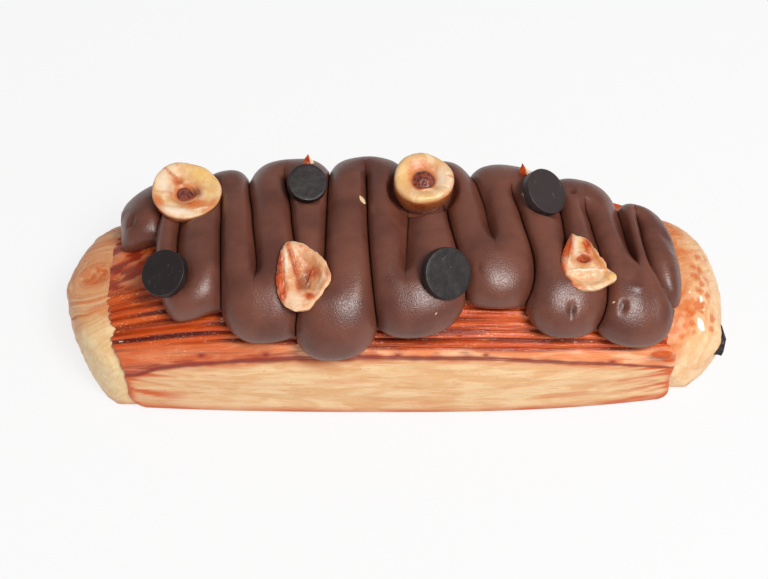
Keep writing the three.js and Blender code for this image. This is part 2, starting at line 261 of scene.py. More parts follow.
def grain(tree, size, **settings):
    # Noise in space, with features of this size in millimetres
    return noiseAt(addNode(tree, "ShaderNodeTexCoord").outputs["Object"], [1 / (size * mm)] * 3, **settings)


def flowGrain(tree, along, across, **settings):
    # Noise that follows the piece's own grain, with features of these sizes in millimetres
    place = addNode(tree, "ShaderNodeAttribute", attribute_name="flow").outputs["Vector"]
    return noiseAt(place, [1 / along, 1 / across, 1 / along], **settings)


def spread(value, low, high, toLow=0.0, toHigh=1.0):
    inputs = {"Value": value, "From Min": low, "From Max": high, "To Min": toLow, "To Max": toHigh}
    node = addNode(value.id_data, "ShaderNodeMapRange", inputs, interpolation_type="SMOOTHSTEP")
    return node.outputs["Result"]


def sums(operation, a, b):
    return addNode(a.id_data, "ShaderNodeMath", {0: a, 1: b}, operation=operation).outputs[0]


def plus(a, b):
    return sums("ADD", a, b)


def times(a, b):
    return sums("MULTIPLY", a, b)


def coats(base, *layers):
    # Lays colours over a base: each has a pattern, and may say from where to where in it the colour comes in
    for paint, pattern, *limits in layers:
        amount = spread(pattern, *limits) if limits else pattern
        inputs = {0: amount, 6: base, 7: paint}
        base = addNode(amount.id_data, "ShaderNodeMix", inputs, data_type="RGBA").outputs[2]
    return base


def colour(red, green, blue):
    # A colour as seen on a screen, 0 to 255, as the linear one that a shader takes
    shares = (red / 255, green / 255, blue / 255)
    return tuple(c / 12.92 if c <= 0.04045 else ((c + 0.055) / 1.055) ** 2.4 for c in shares) + (1.0,)


def palette(**colours):
    return {name: colour(*shares) for name, shares in colours.items()}


def finishLook(shader, base, roughness, height, distance, strength=1.0):
    # Sets the shader's colour, roughness and bumps, whose height is in millimetres
    inputs = {"Height": height, "Distance": distance * mm, "Strength": strength}
    plug(shader.inputs["Base Color"], base)
    plug(shader.inputs["Roughness"], roughness)
    plug(shader.inputs["Normal"], addNode(shader.id_data, "ShaderNodeBump", inputs).outputs["Normal"])


def makeCrust():
    # The glazed wrap: red-brown and glossy where it is scored, pale and dull below its seam
    look = palette(
        pale=(228, 176, 122), paleLight=(240, 202, 154), paleStreak=(214, 142, 88), toasted=(208, 96, 42),
        glazed=(200, 74, 12), glazedLight=(220, 108, 42), glazedDark=(108, 24, 6), band=(234, 140, 86),
        bandLight=(246, 188, 142), mauve=(124, 62, 52), glint=(250, 222, 200), groove=(90, 18, 6),
        red=(142, 30, 12), amber=(200, 82, 4),
    )
    material, tree, shader = newMaterial("crustGlazed", Specular_IOR_Level=0.42)
    glaze, groove, toast, mauve, amber, band, red = readMarks(tree, *wrapMarks)
    longStreaks = flowGrain(tree, 32, 2.0, detail=4, roughness=0.6)
    fineStreaks = flowGrain(tree, 9, 0.45, detail=4, roughness=0.65, distortion=0.2)
    lightStreaks = flowGrain(tree, 15, 0.8, detail=3, roughness=0.6, distortion=0.4)
    patches = flowGrain(tree, 11, 3.2, detail=4, distortion=0.8)
    specks = flowGrain(tree, 1.6, 0.7, detail=3)
    glints = spread(flowGrain(tree, 0.9, 0.24, detail=2), 0.62, 0.68)
    clusters = times(spread(patches, 0.48, 0.62, 0.1, 0.8), spread(band, 0, 0.5, 1, 0.1))

    pale = coats(
        look["pale"],
        (look["paleLight"], patches, 0.38, 0.62),
        (look["paleStreak"], longStreaks, 0.5, 0.7, 0, 0.55),
        (look["paleStreak"], fineStreaks, 0.54, 0.72, 0, 0.75),
        (look["toasted"], specks, 0.66, 0.74, 0, 0.7),
        (look["toasted"], toast),
    )
    glazed = coats(
        look["glazed"],
        (look["glazedLight"], patches, 0.4, 0.68, 0, 0.6),
        (look["glazedLight"], lightStreaks, 0.56, 0.68, 0, 0.6),
        (look["glazedDark"], longStreaks, 0.5, 0.64, 0, 0.7),
        (coats(look["band"], (look["bandLight"], patches, 0.4, 0.65)), band),
        (look["red"], fineStreaks, 0.54, 0.7, 0, 0.45),
        (look["toasted"], toast),
        # Painted reflection of the white surroundings on the glaze, in the wide cuts and by the right lip,
        # with painted glints on it
        (look["mauve"], mauve),
        (look["glint"], times(glints, sums("MAXIMUM", mauve, clusters))),
    )
    # The groove colour darkens the cut valleys and the seam: browned dough there, and painted shade
    base = coats(pale, (glazed, glaze), (look["red"], red), (look["groove"], groove), (look["amber"], amber))
    wet = plus(spread(glaze, 0, 1, 0.5, 0.14), spread(patches, 0.4, 0.7, 0, 0.1))
    crackle = times(grain(tree, 0.42, detail=3), spread(mauve, 0, 1, 0.35, 1.4))
    blisters = plus(crackle, times(grain(tree, 1.6, detail=2), 0.5))
    finishLook(shader, base, plus(wet, times(band, 0.2)), plus(fineStreaks, blisters), 0.2)
    return material


def makeRolledEnd(name, streaked, flaked, look):
    # The bulging ends, with thin browned lines along the edges of the rolled layers
    material, tree, shader = newMaterial(name, Specular_IOR_Level=0.5)
    layer, toast, fair, glaze = readMarks(tree, *endMarks)
    smooth = spread(fair, 0, 1, 1, 0.3)
    streaks = flowGrain(tree, 6, 0.45, detail=5, roughness=0.6, distortion=0.4)
    bands = flowGrain(tree, 9, 1.5, detail=4, distortion=0.7)
    patches = grain(tree, 3.2, detail=5, distortion=0.8)
    flakes = grain(tree, 0.9, detail=5, roughness=0.65, distortion=1.2)
    base = coats(
        look["mid"],
        (look["light"], bands, 0.35, 0.68),
        (coats(look["pale"], (look["fair"], patches, 0.4, 0.62)), fair),
        (look["light"], patches, 0.52, 0.7, 0, 0.55),
        (look["dark"], times(times(layer, 0.5), smooth)),
        (look["dark"], times(spread(streaks, 0.52, 0.72, 0, streaked), smooth)),
        (look["dark"], flakes, 0.54, 0.7, 0, flaked),
        (look["toasted"], toast),
        (look["amber"], glaze),
    )
    dull = sums("SUBTRACT", spread(bands, 0.3, 0.7, 0.36, 0.54), times(glaze, 0.26))
    relief = plus(times(streaks, 0.7), times(flakes, 0.6))
    finishLook(shader, base, dull, times(relief, smooth), 0.26)
    return material


def makeGanache():
    look = palette(brown=(111, 64, 49), deep=(90, 48, 37), crease=(46, 22, 16))
    material, tree, shader = newMaterial("ganacheSatin", Specular_IOR_Level=0.5)
    crease = readMarks(tree, "crease")[0]
    # The crease colour is painted shade, in the creases between the runs and in the pits
    base = coats(look["brown"], (look["deep"], grain(tree, 9), 0.35, 0.7), (look["crease"], crease))
    specks = grain(tree, 0.34, detail=2)
    finishLook(shader, base, spread(specks, 0.4, 0.7, 0.3, 0.44), specks, 0.1, 0.7)
    return material


def makeDarkChocolate():
    look = palette(dark=(31, 22, 22), bloom=(56, 44, 45), scratch=(170, 156, 150))
    material, tree, shader = newMaterial("chocolateDark", Specular_IOR_Level=0.45)
    clouds = grain(tree, 2.5, detail=6, roughness=0.7)
    lines = spread(flowGrain(tree, 3.5, 0.1, detail=1), 0.72, 0.78)
    base = coats(
        look["dark"],
        (look["bloom"], clouds, 0.5, 0.8, 0, 0.5),
        # This mark paints a whole disc lighter: painted light where the disc faces the light
        (look["bloom"], readMarks(tree, "bloom")[0]),
        (look["scratch"], grain(tree, 0.32, detail=2), 0.74, 0.78, 0, 0.8),
        (look["scratch"], times(lines, spread(grain(tree, 3), 0.52, 0.6))),
    )
    finishLook(shader, base, spread(clouds, 0.3, 0.7, 0.36, 0.5), grain(tree, 0.35, detail=4), 0.03)
    return material


def makeNut():
    look = palette(
        cream=(217, 168, 116), pale=(231, 198, 156), white=(238, 216, 190), gold=(228, 184, 104),
        warm=(208, 112, 52), skin=(196, 78, 22), skinDark=(146, 46, 14), core=(134, 66, 50),
        coreDark=(88, 36, 24),
    )
    material, tree, shader = newMaterial(
        "nutFlesh",
        Specular_IOR_Level=0.5,
        Subsurface_Weight=0.1,
        Subsurface_Scale=0.0015,
        Subsurface_Radius=(1.0, 0.6, 0.3),
    )
    skin, core, warm, white, gold = readMarks(tree, *nutMarks)
    swirls = grain(tree, 4.0, detail=3, distortion=1.6)
    fibres = grain(tree, 1.3, detail=5, roughness=0.6, distortion=1.0)
    base = coats(
        look["cream"],
        (look["pale"], swirls, 0.38, 0.62),
        (look["gold"], gold),
        (look["warm"], fibres, 0.54, 0.74, 0, 0.5),
        (look["warm"], warm),
        # White is the pale flesh and, in places, a painted highlight on the cut face and its rims
        (look["white"], white),
        (coats(look["skin"], (look["skinDark"], fibres, 0.42, 0.66)), skin),
        (coats(look["core"], (look["coreDark"], fibres, 0.42, 0.6)), core),
    )
    finishLook(shader, base, spread(fibres, 0.3, 0.7, 0.26, 0.44), fibres, 0.1)
    return material


# The marks that the points of the wrap, the ends and the nuts hold, in the order their materials read them
wrapMarks = ("glaze", "groove", "toast", "mauve", "amber", "band", "red")
endMarks = ("layer", "toast", "fair", "glaze")
nutMarks = ("skin", "core", "warm", "white", "gold")

crustLook = makeCrust()
leftEndLook = makeRolledEnd(
    "crustRolledLeft", 0.65, 0.2,
    palette(
        pale=(232, 196, 142), fair=(240, 214, 162), light=(236, 196, 150), mid=(222, 156, 100),
        dark=(188, 102, 50), toasted=(206, 100, 40), amber=(196, 84, 14),
    ),
)
rightEndLook = makeRolledEnd(
    "crustRolledRight", 0.3, 0.5,
    palette(
        pale=(232, 182, 128), fair=(244, 206, 156), light=(240, 200, 154), mid=(226, 164, 108),
        dark=(204, 128, 74), toasted=(216, 120, 60), amber=(206, 92, 10),
    ),
)
ganacheLook = makeGanache()
chocolateLook = makeDarkChocolate()
nutLook = makeNut()
sugarLook, _, _ = newMaterial("sugarWhite", Base_Color=colour(246, 240, 232), Roughness=0.25)
print("materials made")


# The wrap: one sheet round the roll, scored lengthwise above its seam

# "rightStepAt" is between which angles the right edge steps in, and "notch" the angle, width and depth of a
# notch in the left edge.
# "seamCurl" and "bandRight" are X, width and degrees of a bend at the seam's left end and at the band's right
# end, "seamUneven" the length and degrees of the seam's waves, and "bandLeft" where the band starts to widen
# to the left, over what length and by what power. "scoreFade" is over how many degrees the scored part comes
# in, before and after the band's top, and goes out at "ridgeTo". "poles" close the sheet inside the roll.
wrap = {
    "leftEdge": -58.4,
    "rightEdge": 61.8,
    "leftSlant": 4.2,
    "slantPower": 1.5,
    "rightStep": 2.0,
    "rightStepAt": (22, 31),
    "notch": (49, 1.5, 1.3),
    "cornerRound": (5.4, 3.2),
    "edgeReach": 0.7,
    "seamAngle": 17.7,
    "seamTopX": -2,
    "seamDroop": 9.5,
    "seamDroopLength": 56,
    "seamDroopPower": 2.6,
    "seamCurl": (-57, 5, 4.5),
    "seamUneven": (14, 0.7),
    "seamDepth": 0.35,
    "seamWidth": 1.1,
    "bandTop": 23.4,
    "bandTopLeft": 8.4,
    "bandLeft": (-5, 48, 0.7),
    "bandRight": (61, 6, 4),
    "ridgeTo": 75.5,
    "ridgePitch": 2.3,
    "ridgeDepth": 0.55,
    "scoreFade": (1.0, 2.0, 1.5),
    "columns": 226,
    "poles": ((-53.4, -2, 12), (57.8, -2, 12)),
}
# How the wrap's edge turns in: how far in along the log, and how deep under the skin
edgeTurn = [(3, 3.2), (1.4, 1.9), (0.5, 1.35), (0.12, 1.05), (0, 0.7), (0.06, 0.35), (0.3, 0.1), (0.7, 0)]
# Beads where the glaze ran together: X, angle, two half sizes and height in millimetres
beads = [(58.4, 21.5, 2.3, 1.3, 0.9), (60.2, 15.0, 1.2, 0.8, 0.5), (36.0, 27.5, 2.2, 0.7, 0.3)]
# Red spots on the band above the seam: X, angle and size
redSpots = [
    (-27.1, 21.5, 1.0), (-7.2, 20.5, 0.9), (1.2, 20.4, 0.9), (47.6, 14.5, 0.8), (-41, 22, 0.7), (20, 21, 0.6),
]
# The two ends. Their bulge stands out "reach" past the edge; "across" and "upward" are powers of its fall
# to the sides and the top, "waist" is the height it falls off from and "footShare" what is left at the foot.
# The right one's foot stands "footInset" further in at the front, and its swelling round the baton is in
# "collars": place across and up, size and height.
# Round "spiral", their rolled layers show: the place across and up, and how much longer they run downward.
ends = {
    "left": {
        "side": -1,
        "edge": -58.4,
        "reach": 15.0,
        "across": (1.47, 2.05),
        "upward": (4.6, 1.4),
        "waist": 11.25,
        "footShare": 0.845,
        "footInset": 0.0,
        "spiral": (-3.9, 23.0),
        "stretch": 1.65,
        "layerPitch": 1.5,
        "relief": 0.2,
        "lumps": 0.3,
        "seed": 21,
        "collars": [],
        "glazeSpots": [],
    },
    "right": {
        "side": 1,
        "edge": 60.8,
        "reach": 14.8,
        "across": (3.5, 1.04),
        "upward": (1.9, 2.7),
        "waist": 5.0,
        "footShare": 0.8,
        "footInset": 2.6,
        "spiral": (-11.0, 9.0),
        "stretch": 1.0,
        "layerPitch": 2.6,
        "relief": 0.1,
        "lumps": 0.55,
        "seed": 31,
        "collars": [(-15.0, 11.5, 4.2, 1.7)],
        "glazeSpots": [
            (2.8, 21.6, 1.0), (4.1, 19.3, 0.7), (-0.9, 22.3, 0.8), (-1.5, 21.5, 0.9), (-3.6, 22.2, 1.2),
            (-3.1, 20.4, 0.8), (-5.1, 21.3, 0.9), (-7.4, 21.5, 1.0), (-7.4, 20.0, 0.9), (-11.1, 21.0, 1.5),
            (-13.4, 21.3, 1.3), (-12, 17.6, 1.1), (-15.5, 20.1, 0.8), (-14, 16.6, 0.8), (-16.6, 18.6, 0.6),
        ],
    },
}


def footAngles(sideSteps, baseSteps):
    # Angles down the side of the foot and under it to the middle, evenly spaced along its outline
    corner = 0.5 ** (1 / roll["footPower"])
    half = roll["footPower"] / 2
    side = [-math.asin((corner * k / sideSteps) ** half) / degree for k in range(1, sideSteps + 1)]
    base = [-math.acos((corner * k / baseSteps) ** half) / degree for k in range(baseSteps - 1, -1, -1)]
    return side + base


def ringAngles(bandStep, ridgeStep, topStep, sideSteps=18, baseSteps=6):
    # Angles once round the roll from the middle of its foot, up the front, over the top and down the back
    front = footAngles(sideSteps, baseSteps)[::-1]
    front += list(np.arange(0, wrap["bandTop"], bandStep))
    front += list(np.arange(wrap["bandTop"], wrap["ridgeTo"], ridgeStep))
    front += list(np.arange(wrap["ridgeTo"], 90, topStep))
    return np.array(front + [90] + [180 - a for a in front[::-1]])


def wrapEdge(side, angle):
    # Where the wrap's edge lies along the log: slanting at the left, stepped at the right, round at the foot
    up = np.sin(angle * degree)
    front = np.where(angle > 90, 180 - angle, angle)
    low = roll["widestAt"] - (roll["widestAt"] + roll["footSink"]) * np.abs(up) ** (2 / roll["footPower"])
    corner = wrap["cornerRound"][0 if side < 0 else 1]
    deep = np.clip(1 - low / corner, 0, 1)
    rounded = corner * (1 - np.sqrt(1 - deep**2))
    if side < 0:
        edge, drawn = wrap["leftEdge"], wrap["leftSlant"] * np.abs(up) ** wrap["slantPower"]
    else:
        edge, drawn = wrap["rightEdge"], -wrap["rightStep"] * ramp(*wrap["rightStepAt"], front)
    return edge + side * np.where(up > 0, drawn, -rounded)


def seamAt(x):
    # The seam's angle: highest in the middle, drooping to both ends and curling down at the left
    curlX, curlWidth, curl = wrap["seamCurl"]
    length, uneven = wrap["seamUneven"]
    fromTop = np.abs(x - wrap["seamTopX"]) / wrap["seamDroopLength"]
    droop = wrap["seamDroop"] * fromTop ** wrap["seamDroopPower"]
    waves = uneven * wander(np.stack([x, 0 * x, 0 * x], -1), length, 9)
    return wrap["seamAngle"] - droop - curl * hill(x, curlX, curlWidth) + waves


def bandTopAt(x):
    # Where the smooth band above the seam ends and the scored ridges begin
    fromX, length, power = wrap["bandLeft"]
    riseX, riseWidth, rise = wrap["bandRight"]
    left = wrap["bandTopLeft"] * np.clip((fromX - x) / length, 0, 1) ** power
    return wrap["bandTop"] + left + rise * hill(x, riseX, riseWidth)


def ridgeHeights(x, arc, seed):
    # Heights of the scored ridges at a place along the log and an arc length up it, how deep in a cut it is,
    # and where a cut is wide, which is cut deeper there and carries a painted reflection
    flat = np.stack([x, arc, 0 * x], -1)
    sway = 0.4 * wander(flat, (44, 9, 1), seed) + 0.12 * wander(flat, (8, 3, 1), seed + 1)
    phase = arc / wrap["ridgePitch"] + sway
    row = np.floor(phase)
    share = phase - row
    nearest = np.where(share > 0.5, row + 1, row)
    away = np.minimum(share, 1 - share)
    rowSpots = np.stack([x, nearest * 40.0, 0 * x], -1)
    deep = np.clip(0.65 + 0.8 * wander(rowSpots, (30, 31, 1), seed + 2), 0.1, 1.2)
    wide = 0.5 + 0.5 * wander(rowSpots, (21, 29, 1), seed + 4)
    valley = deep * np.exp(-((away / (0.09 + 0.13 * wide)) ** 2))
    broken = ramp(0.46, 0.62, wide) * np.exp(-((away / 0.26) ** 4))
    crest = 0.8 * np.sin(math.pi * share) ** 0.7 * (1 + wander(rowSpots, (17, 23, 1), seed + 3))
    fine = 0.22 * wander(flat, (18, 0.62, 1), seed + 5)
    return wrap["ridgeDepth"] * (crest + fine - 1.1 * valley - 0.5 * broken), valley, broken


def makeWrap():
    angles = ringAngles(0.6, 0.5, 1.4)
    fromFront = np.where(angles > 90, 180 - angles, angles)
    below = skinAt(0, angles)[0][:, 2] - roll["widestAt"]
    arcs = np.where(fromFront > 0, arcAt(np.maximum(fromFront, 0)), below)
    turns = len(edgeTurn)
    columns = wrap["columns"] + 2 * turns
    edgeReach = wrap["edgeReach"]
    notchAngle, notchWidth, notchDeep = wrap["notch"]

    def rule(i, j):
        angle, front, arc = angles[j], fromFront[j], arcs[j]
        isBack = angle > 90
        left, right = wrapEdge(-1, angle), wrapEdge(1, angle)
        isLeft = i < columns / 2
        edgeSpots = np.stack([np.where(isLeft, 0, 50.0), arc, 60.0 * isBack], -1)
        jags = 0.6 * wander(edgeSpots, 4.5, 3) * (front > -20) + 0.2 * wander(edgeSpots, 1.1, 4)
        jags += notchDeep * hill(arc, arcAt(notchAngle), notchWidth) * isLeft
        left = left + jags * isLeft
        right = right - 0.6 * jags * ~isLeft
        fromEdge = np.minimum(i, columns - i)
        turn = np.array(edgeTurn + [(edgeReach, 0.0)])[np.minimum(fromEdge, turns)]
        inner = np.clip((i - turns) / (columns - 2 * turns), 0, 1)
        x = left + edgeReach + (right - left - 2 * edgeReach) * inner
        x = np.where(i <= turns, left + turn[:, 0], x)
        x = np.where(i >= columns - turns, right - turn[:, 0], x)

        # The scored part, the seam with its torn red line, and the uneven lift of the skin
        flat = np.stack([x, arc, 40.0 * isBack], -1)
        height, valley, broken = ridgeHeights(x, np.where(isBack, arc + 200, arc), 5)
        bandTop = bandTopAt(x) + 1.2 * wander(flat, (12, 30, 30), 10)
        ridgeTo = wrap["ridgeTo"]
        before, after, fade = wrap["scoreFade"]
        scored = ramp(bandTop - before, bandTop + after, front) * ramp(ridgeTo + fade, ridgeTo - fade, front)
        fromSeam = front - seamAt(x)
        seam = hill(fromSeam, 0, wrap["seamWidth"])
        torn = 0.9 + 0.6 * wander(flat, (2.2, 2, 2), 17) + 0.4 * wander(flat, (9, 4, 4), 21)
        torn = torn * (0.6 + 0.4 * ramp(45, 5, x))
        redLine = np.maximum(hill(fromSeam, 1.9, 2.3 * torn), 0.85 * hill(fromSeam, -0.6, 1.2 * torn))
        redLine = np.maximum(redLine, 0.7 * hill(fromSeam, 5.2, 0.8) * ramp(-0.1, 0.25, torn - 0.8))
        above = ramp(-0.5, 0.5, fromSeam)
        swell = 0.35 * wander(flat, (30, 9, 9), 11) + 0.12 * wander(flat, (8, 1.4, 3), 12)
        swell += 0.3 * wander(flat, (3.5, 2.2, 3), 18) * ramp(ridgeTo - 2, ridgeTo + 2, front)
        lift = scored * height - wrap["seamDepth"] * seam + 0.45 * above * (1 - scored) + swell * (front > -1)
        amber = 0 * x
        for beadX, beadAngle, long, wide, high in beads:
            dx, dy = (x - beadX) / long, (arc - arcAt(beadAngle)) / wide
            bulge = np.exp(-((dx**2 + dy**2) ** 1.5)) * ~isBack
            lift += high * bulge
            amber = np.maximum(amber, ramp(0.15, 0.5, bulge))
        for spotX, spotAngle, size in redSpots:
            away = np.hypot((x - spotX) / 1.3, arc - arcAt(spotAngle))
            redLine = np.maximum(redLine, hill(away, 0, size) * ~isBack)
        fromRim = np.minimum(x - left, right - x)
        lift = np.maximum(lift, -0.3 - 3 * ramp(1, 4, fromRim))
        spot, _ = skinAt(x, angle, lift - turn[:, 1])
        for column, pole in zip((0, columns), wrap["poles"]):
            spot[i == column] = pole

        # Browning: along the foot, fanning up from the corners, under the seam and at the edges
        lowEdge = ramp(4.2, 1.3, spot[:, 2]) * (0.8 + 0.6 * wander(flat, (7, 3, 3), 13))
        corner = np.maximum(hill(x, left, 8), hill(x, right, 11)) * (front < 12)
        fanSpots = np.stack([x * 0.35, arc - 0.12 * np.abs(x), 60.0 * isBack], -1)
        fan = corner * ramp(-0.15, 0.35, wander(fanSpots, (4, 1.3, 1), 19))
        isUnder = fromSeam < 0
        underSeam = 0.75 * hill(fromSeam, -2.0, 1.7) * (0.6 + 0.8 * wander(flat, (9, 3, 3), 20)) * isUnder
        rim = np.maximum(hill(x, left, 1.1), hill(x, right, 1.1)) * (front < 12)
        blotch = 0.35 * ramp(0.2, 0.55, wander(flat, (20, 3, 4), 16))
        patchTop = ramp(ridgeTo - 1, ridgeTo + 2, front)
        toast = lowEdge + fan + underSeam + 0.8 * rim + blotch + 0.15 * ramp(-25, -52, x)
        toast = np.where(isUnder, toast, 0.5 * patchTop)
        paleBand = above * (1 - scored) * (1 - patchTop) * (0.2 + 0.8 * ramp(-50, 0, x))
        topPatch = patchTop * ramp(-0.2, 0.3, wander(flat, (5, 2.5, 5), 22))
        topRed = 0.85 * patchTop * ramp(0.05, 0.3, wander(flat, (4, 2, 4), 25) + 0.35 * hill(front, 90, 9))
        # Painted reflection and glints: a patch by the right lip, and along the wide cuts
        lip = hill(x, 59, 3.5) * hill(front, 17, 4) * ~isBack
        bare = broken * (0.6 + 0.3 * ramp(10, 45, np.abs(x)) + 0.25 * ramp(-25, -50, x))
        # The groove mark is browned dough plus painted shade, in the cut valleys and along the seam
        marks = {
            "glaze": above,
            "groove": 0.25 * seam + 0.8 * scored * valley,
            "toast": toast,
            "mauve": scored * bare + 0.7 * lip,
            "amber": amber,
            "band": paleBand + 0.8 * topPatch,
            "red": np.maximum(redLine, topRed),
        }
        marks = {name: np.clip(values, 0, 1) for name, values in marks.items()}
        marks["flow"] = np.stack([x, arc + 0.7 * wander(flat, (24, 6, 1), 15), 300.0 * isBack], -1)
        return spot, marks

    shape = newShape(*wrapMarks, flow=True)
    addGrid(shape, columns, len(angles) - 1, rule)
    return newPiece("pastryWrap", shape, crustLook, "crust", "pastry")


def endSection(end):
    # Half width, height over the widest line and sideways bend of the rolled end where it leaves the wrap
    wide, above, middle = rollSection(np.array([end["edge"]]))
    return wide[0] - 0.7, above[0] - 0.7, middle[0]


def bulgeAt(end, y, z):
    # How far the rolled end stands out past the wrap at a place across and up
    wide, above, middle = endSection(end)
    aside = np.clip(np.abs(y - middle) / wide, 0, 1)
    top = roll["widestAt"] + above * (1 - aside ** roll["topPower"]) ** (1 / roll["topPower"])
    upward = np.clip((z - end["waist"]) / np.maximum(top - end["waist"], 0.1), 0, 1)
    low = np.clip(1 - z / end["waist"], 0, 1)
    fall = (1 - aside ** end["across"][0]) ** (1 / end["across"][1])
    fall = fall * (1 - upward ** end["upward"][0]) ** (1 / end["upward"][1])
    bulge = end["reach"] * (1 - (1 - end["footShare"]) * low**2)
    for collarY, collarZ, size, high in end["collars"]:
        bulge = bulge + high * hill(np.hypot(y - collarY, z - collarZ), 0, size)
    return bulge * fall


def makeEnd(name, end, look):
    # A bulging end of the roll, with its rolled layers round the middle of the spiral
    angles = ringAngles(1.2, 1.0, 1.4, 18, 10)
    rings, hidden, centreHeight = 130, 3, 11
    side, seed = end["side"], end["seed"]
    wide, above, middle = endSection(end)
    spiralY, spiralZ = end["spiral"]
    spiralReach = bulgeAt(end, spiralY, spiralZ)

    def rule(i, j):
        angle = angles[j] * degree
        share = np.sin(np.clip((rings - (i - hidden)) / rings, 0, 1) * math.pi / 2)
        rimY, rimZ, _, _ = outlineAt(angle, wide, above)
        rimY, rimZ = middle + rimY, np.maximum(roll["widestAt"] + rimZ, 0)
        rimY = rimY + end["footInset"] * ramp(12, 0, rimZ) * ramp(0.2, 1, (middle - rimY) / wide)
        y = middle + (rimY - middle) * share
        z = centreHeight + (rimZ - centreHeight) * share
        bulge = bulgeAt(end, y, z)

        # Distance from the spiral's middle over the bulge, and the layers and flakes that follow it
        dy, dz = y - spiralY, z - spiralZ
        dz = np.where(dz < 0, dz / end["stretch"], dz)
        arc = np.sqrt(dy**2 + dz**2 + (0.8 * (spiralReach - bulge)) ** 2)
        turn = np.arctan2(dz, dy)
        away = np.stack([y, z, bulge], -1)
        warp = wander(away, 8, seed) + 0.4 * wander(away, 3, seed + 1)
        phase = arc / end["layerPitch"] - side * turn / (2 * math.pi) + 0.35 * warp
        layer = phase - np.floor(phase)
        flow = np.stack([np.cos(turn) * arc, arc + 0.8 * warp, np.sin(turn) * arc], -1)
        flakes = wander(flow, (6, 1.1, 6), seed + 2) + 0.5 * wander(flow, (2.5, 0.6, 2.5), seed + 3)
        shown = ramp(-0.3, 0.3, wander(flow, (8, 4, 8), seed + 6))
        fade = ramp(1.0, 0.93, share)
        patches = wander(away, 5, seed + 5)
        foot = 0.7 * ramp(3.2, 0.5, z) * (0.85 + 0.6 * wander(away, 2.5, seed + 10))
        if side < 0:
            # At the left the spiral's middle is a crumbly hollow, browned like the upper leaves
            crumbs = wander(away, 0.9, seed + 8)
            middleShare = ramp(3.4, 1.4, arc)
            hollow = -1.3 * hill(arc, 0, 1.7) + 0.45 * crumbs * middleShare
            fair = np.maximum(ramp(13, 7, z), ramp(-12, -18, y)) * (0.85 + 0.4 * patches)
            toast = 0.8 * middleShare * (0.35 + 0.65 * ramp(-0.2, 0.3, crumbs))
            upper = ramp(13, 19, z) * np.clip(1 - fair, 0, 1)
            toast = toast + upper * (0.2 + 0.45 * ramp(-0.2, 0.4, flakes)) + foot
        else:
            hollow = 0
            fair = 0.75 + 0.5 * patches - 0.5 * ramp(17, 21, z)
            toast = 0.45 * ramp(17, 23, z) * ramp(-0.1, 0.5, patches + 0.6 * flakes) + foot
            inner = ramp(7, 1, bulge) * ramp(14, 20, z)
            toast += 0.7 * inner * ramp(-0.3, 0.4, wander(away, 1.4, seed + 11))
            toast += 0.5 * ramp(0.9, 1.0, share) * (z > 12)
        leaves = 1.6 * shown * layer**1.5 - 0.5 + flakes
        relief = fade * end["relief"] * leaves * (1 - 0.85 * np.minimum(fair, 1))
        relief += end["lumps"] * (warp + 0.4 * wander(away, 1.6, seed + 7)) * ramp(1.0, 0.8, share)
        x = end["edge"] + side * (bulge + relief + hollow)
        glaze = 0 * x
        for spotY, spotZ, size in end["glazeSpots"]:
            near = np.sqrt((y - spotY) ** 2 + (z - spotZ) ** 2 + (bulge - bulgeAt(end, spotY, spotZ)) ** 2)
            edge = size * (0.95 + 0.7 * wander(away, 1.1, seed + 9) + 0.5 * wander(away, 0.5, seed + 12))
            glaze = np.maximum(glaze, 0.8 * ramp(edge + 0.7, edge - 0.6, near))
        x += side * 0.12 * glaze

        # The first rings go straight in under the wrap and close there
        sunk = np.clip(hidden - i, 0, hidden)
        x = np.where(sunk > 0, end["edge"] - side * sunk * 1.2, x)
        spot = np.stack([x, y, np.maximum(z, 0)], -1)
        spot[i == 0] = (end["edge"] - side * 5, middle, 12)
        lines = (hill(layer, 1.0, 0.14) + hill(layer, 0.0, 0.05)) * shown
        toast, fair = np.clip(toast, 0, 1), np.clip(fair, 0, 1)
        return spot, {"layer": lines, "toast": toast, "fair": fair, "glaze": glaze, "flow": flow}

    shape = newShape(*endMarks, flow=True)
    addGrid(shape, rings + hidden, len(angles) - 1, rule)
    return newPiece(name, shape, look, "crust")


makeWrap()
makeEnd("pastryEndLeft", ends["left"], leftEndLook)
pastryRight = makeEnd("pastryEndRight", ends["right"], rightEndLook)


# The piped ganache: one rope laid to and fro, so that its runs press together and its turns make round bulbs

# The lines where the runs press together, from the left side of the first run to the right side of the last:
# X at each of creaseAngles, the angles where the line ends at the front and at the back, and its softness
creaseAngles = (110, 90, 70, 50)
creaseLines = [
    (-61.2, -60.1, -59.2, -59.2, 104, 128, 0.0),
    (-49.7, -51.3, -50.9, -50.2, 92, 108, 0.0),
    (-44.6, -46.4, -45.4, -43.4, 64, 122, 0.3),
    (-37.9, -37.1, -36.4, -36.2, 53, 104, 0.0),
    (-31.8, -30.2, -28.8, -30.6, 62, 118, 0.15),
    (-23.9, -21.8, -20.2, -19.9, 36, 110, 0.0),
    (-14.0, -14.2, -14.4, -14.9, 56, 120, 0.1),
    (-5.8, -5.4, -4.7, -3.7, 41, 111, 0.0),
    (3.6, 3.4, 2.8, 2.6, 62, 116, 0.6),
    (10.4, 11.9, 14.4, 15.5, 56, 101, 0.0),
    (17.6, 20.4, 22.2, 22.9, 77, 114, 0.55),
    (24.4, 27.8, 30.0, 27.3, 53, 100, 0.0),
    (34.5, 36.9, 36.9, 35.0, 66, 112, 0.25),
    (41.0, 43.2, 45.3, 44.9, 42, 98, 0.35),
    (50.0, 50.6, 53.0, 55.0, 73, 104, 0.6),
    (53.2, 54.3, 56.1, 61.2, 52.5, 99, 0.1),
    (58.6, 62.8, 63.2, 61.0, 76, 102, 0.0),
]
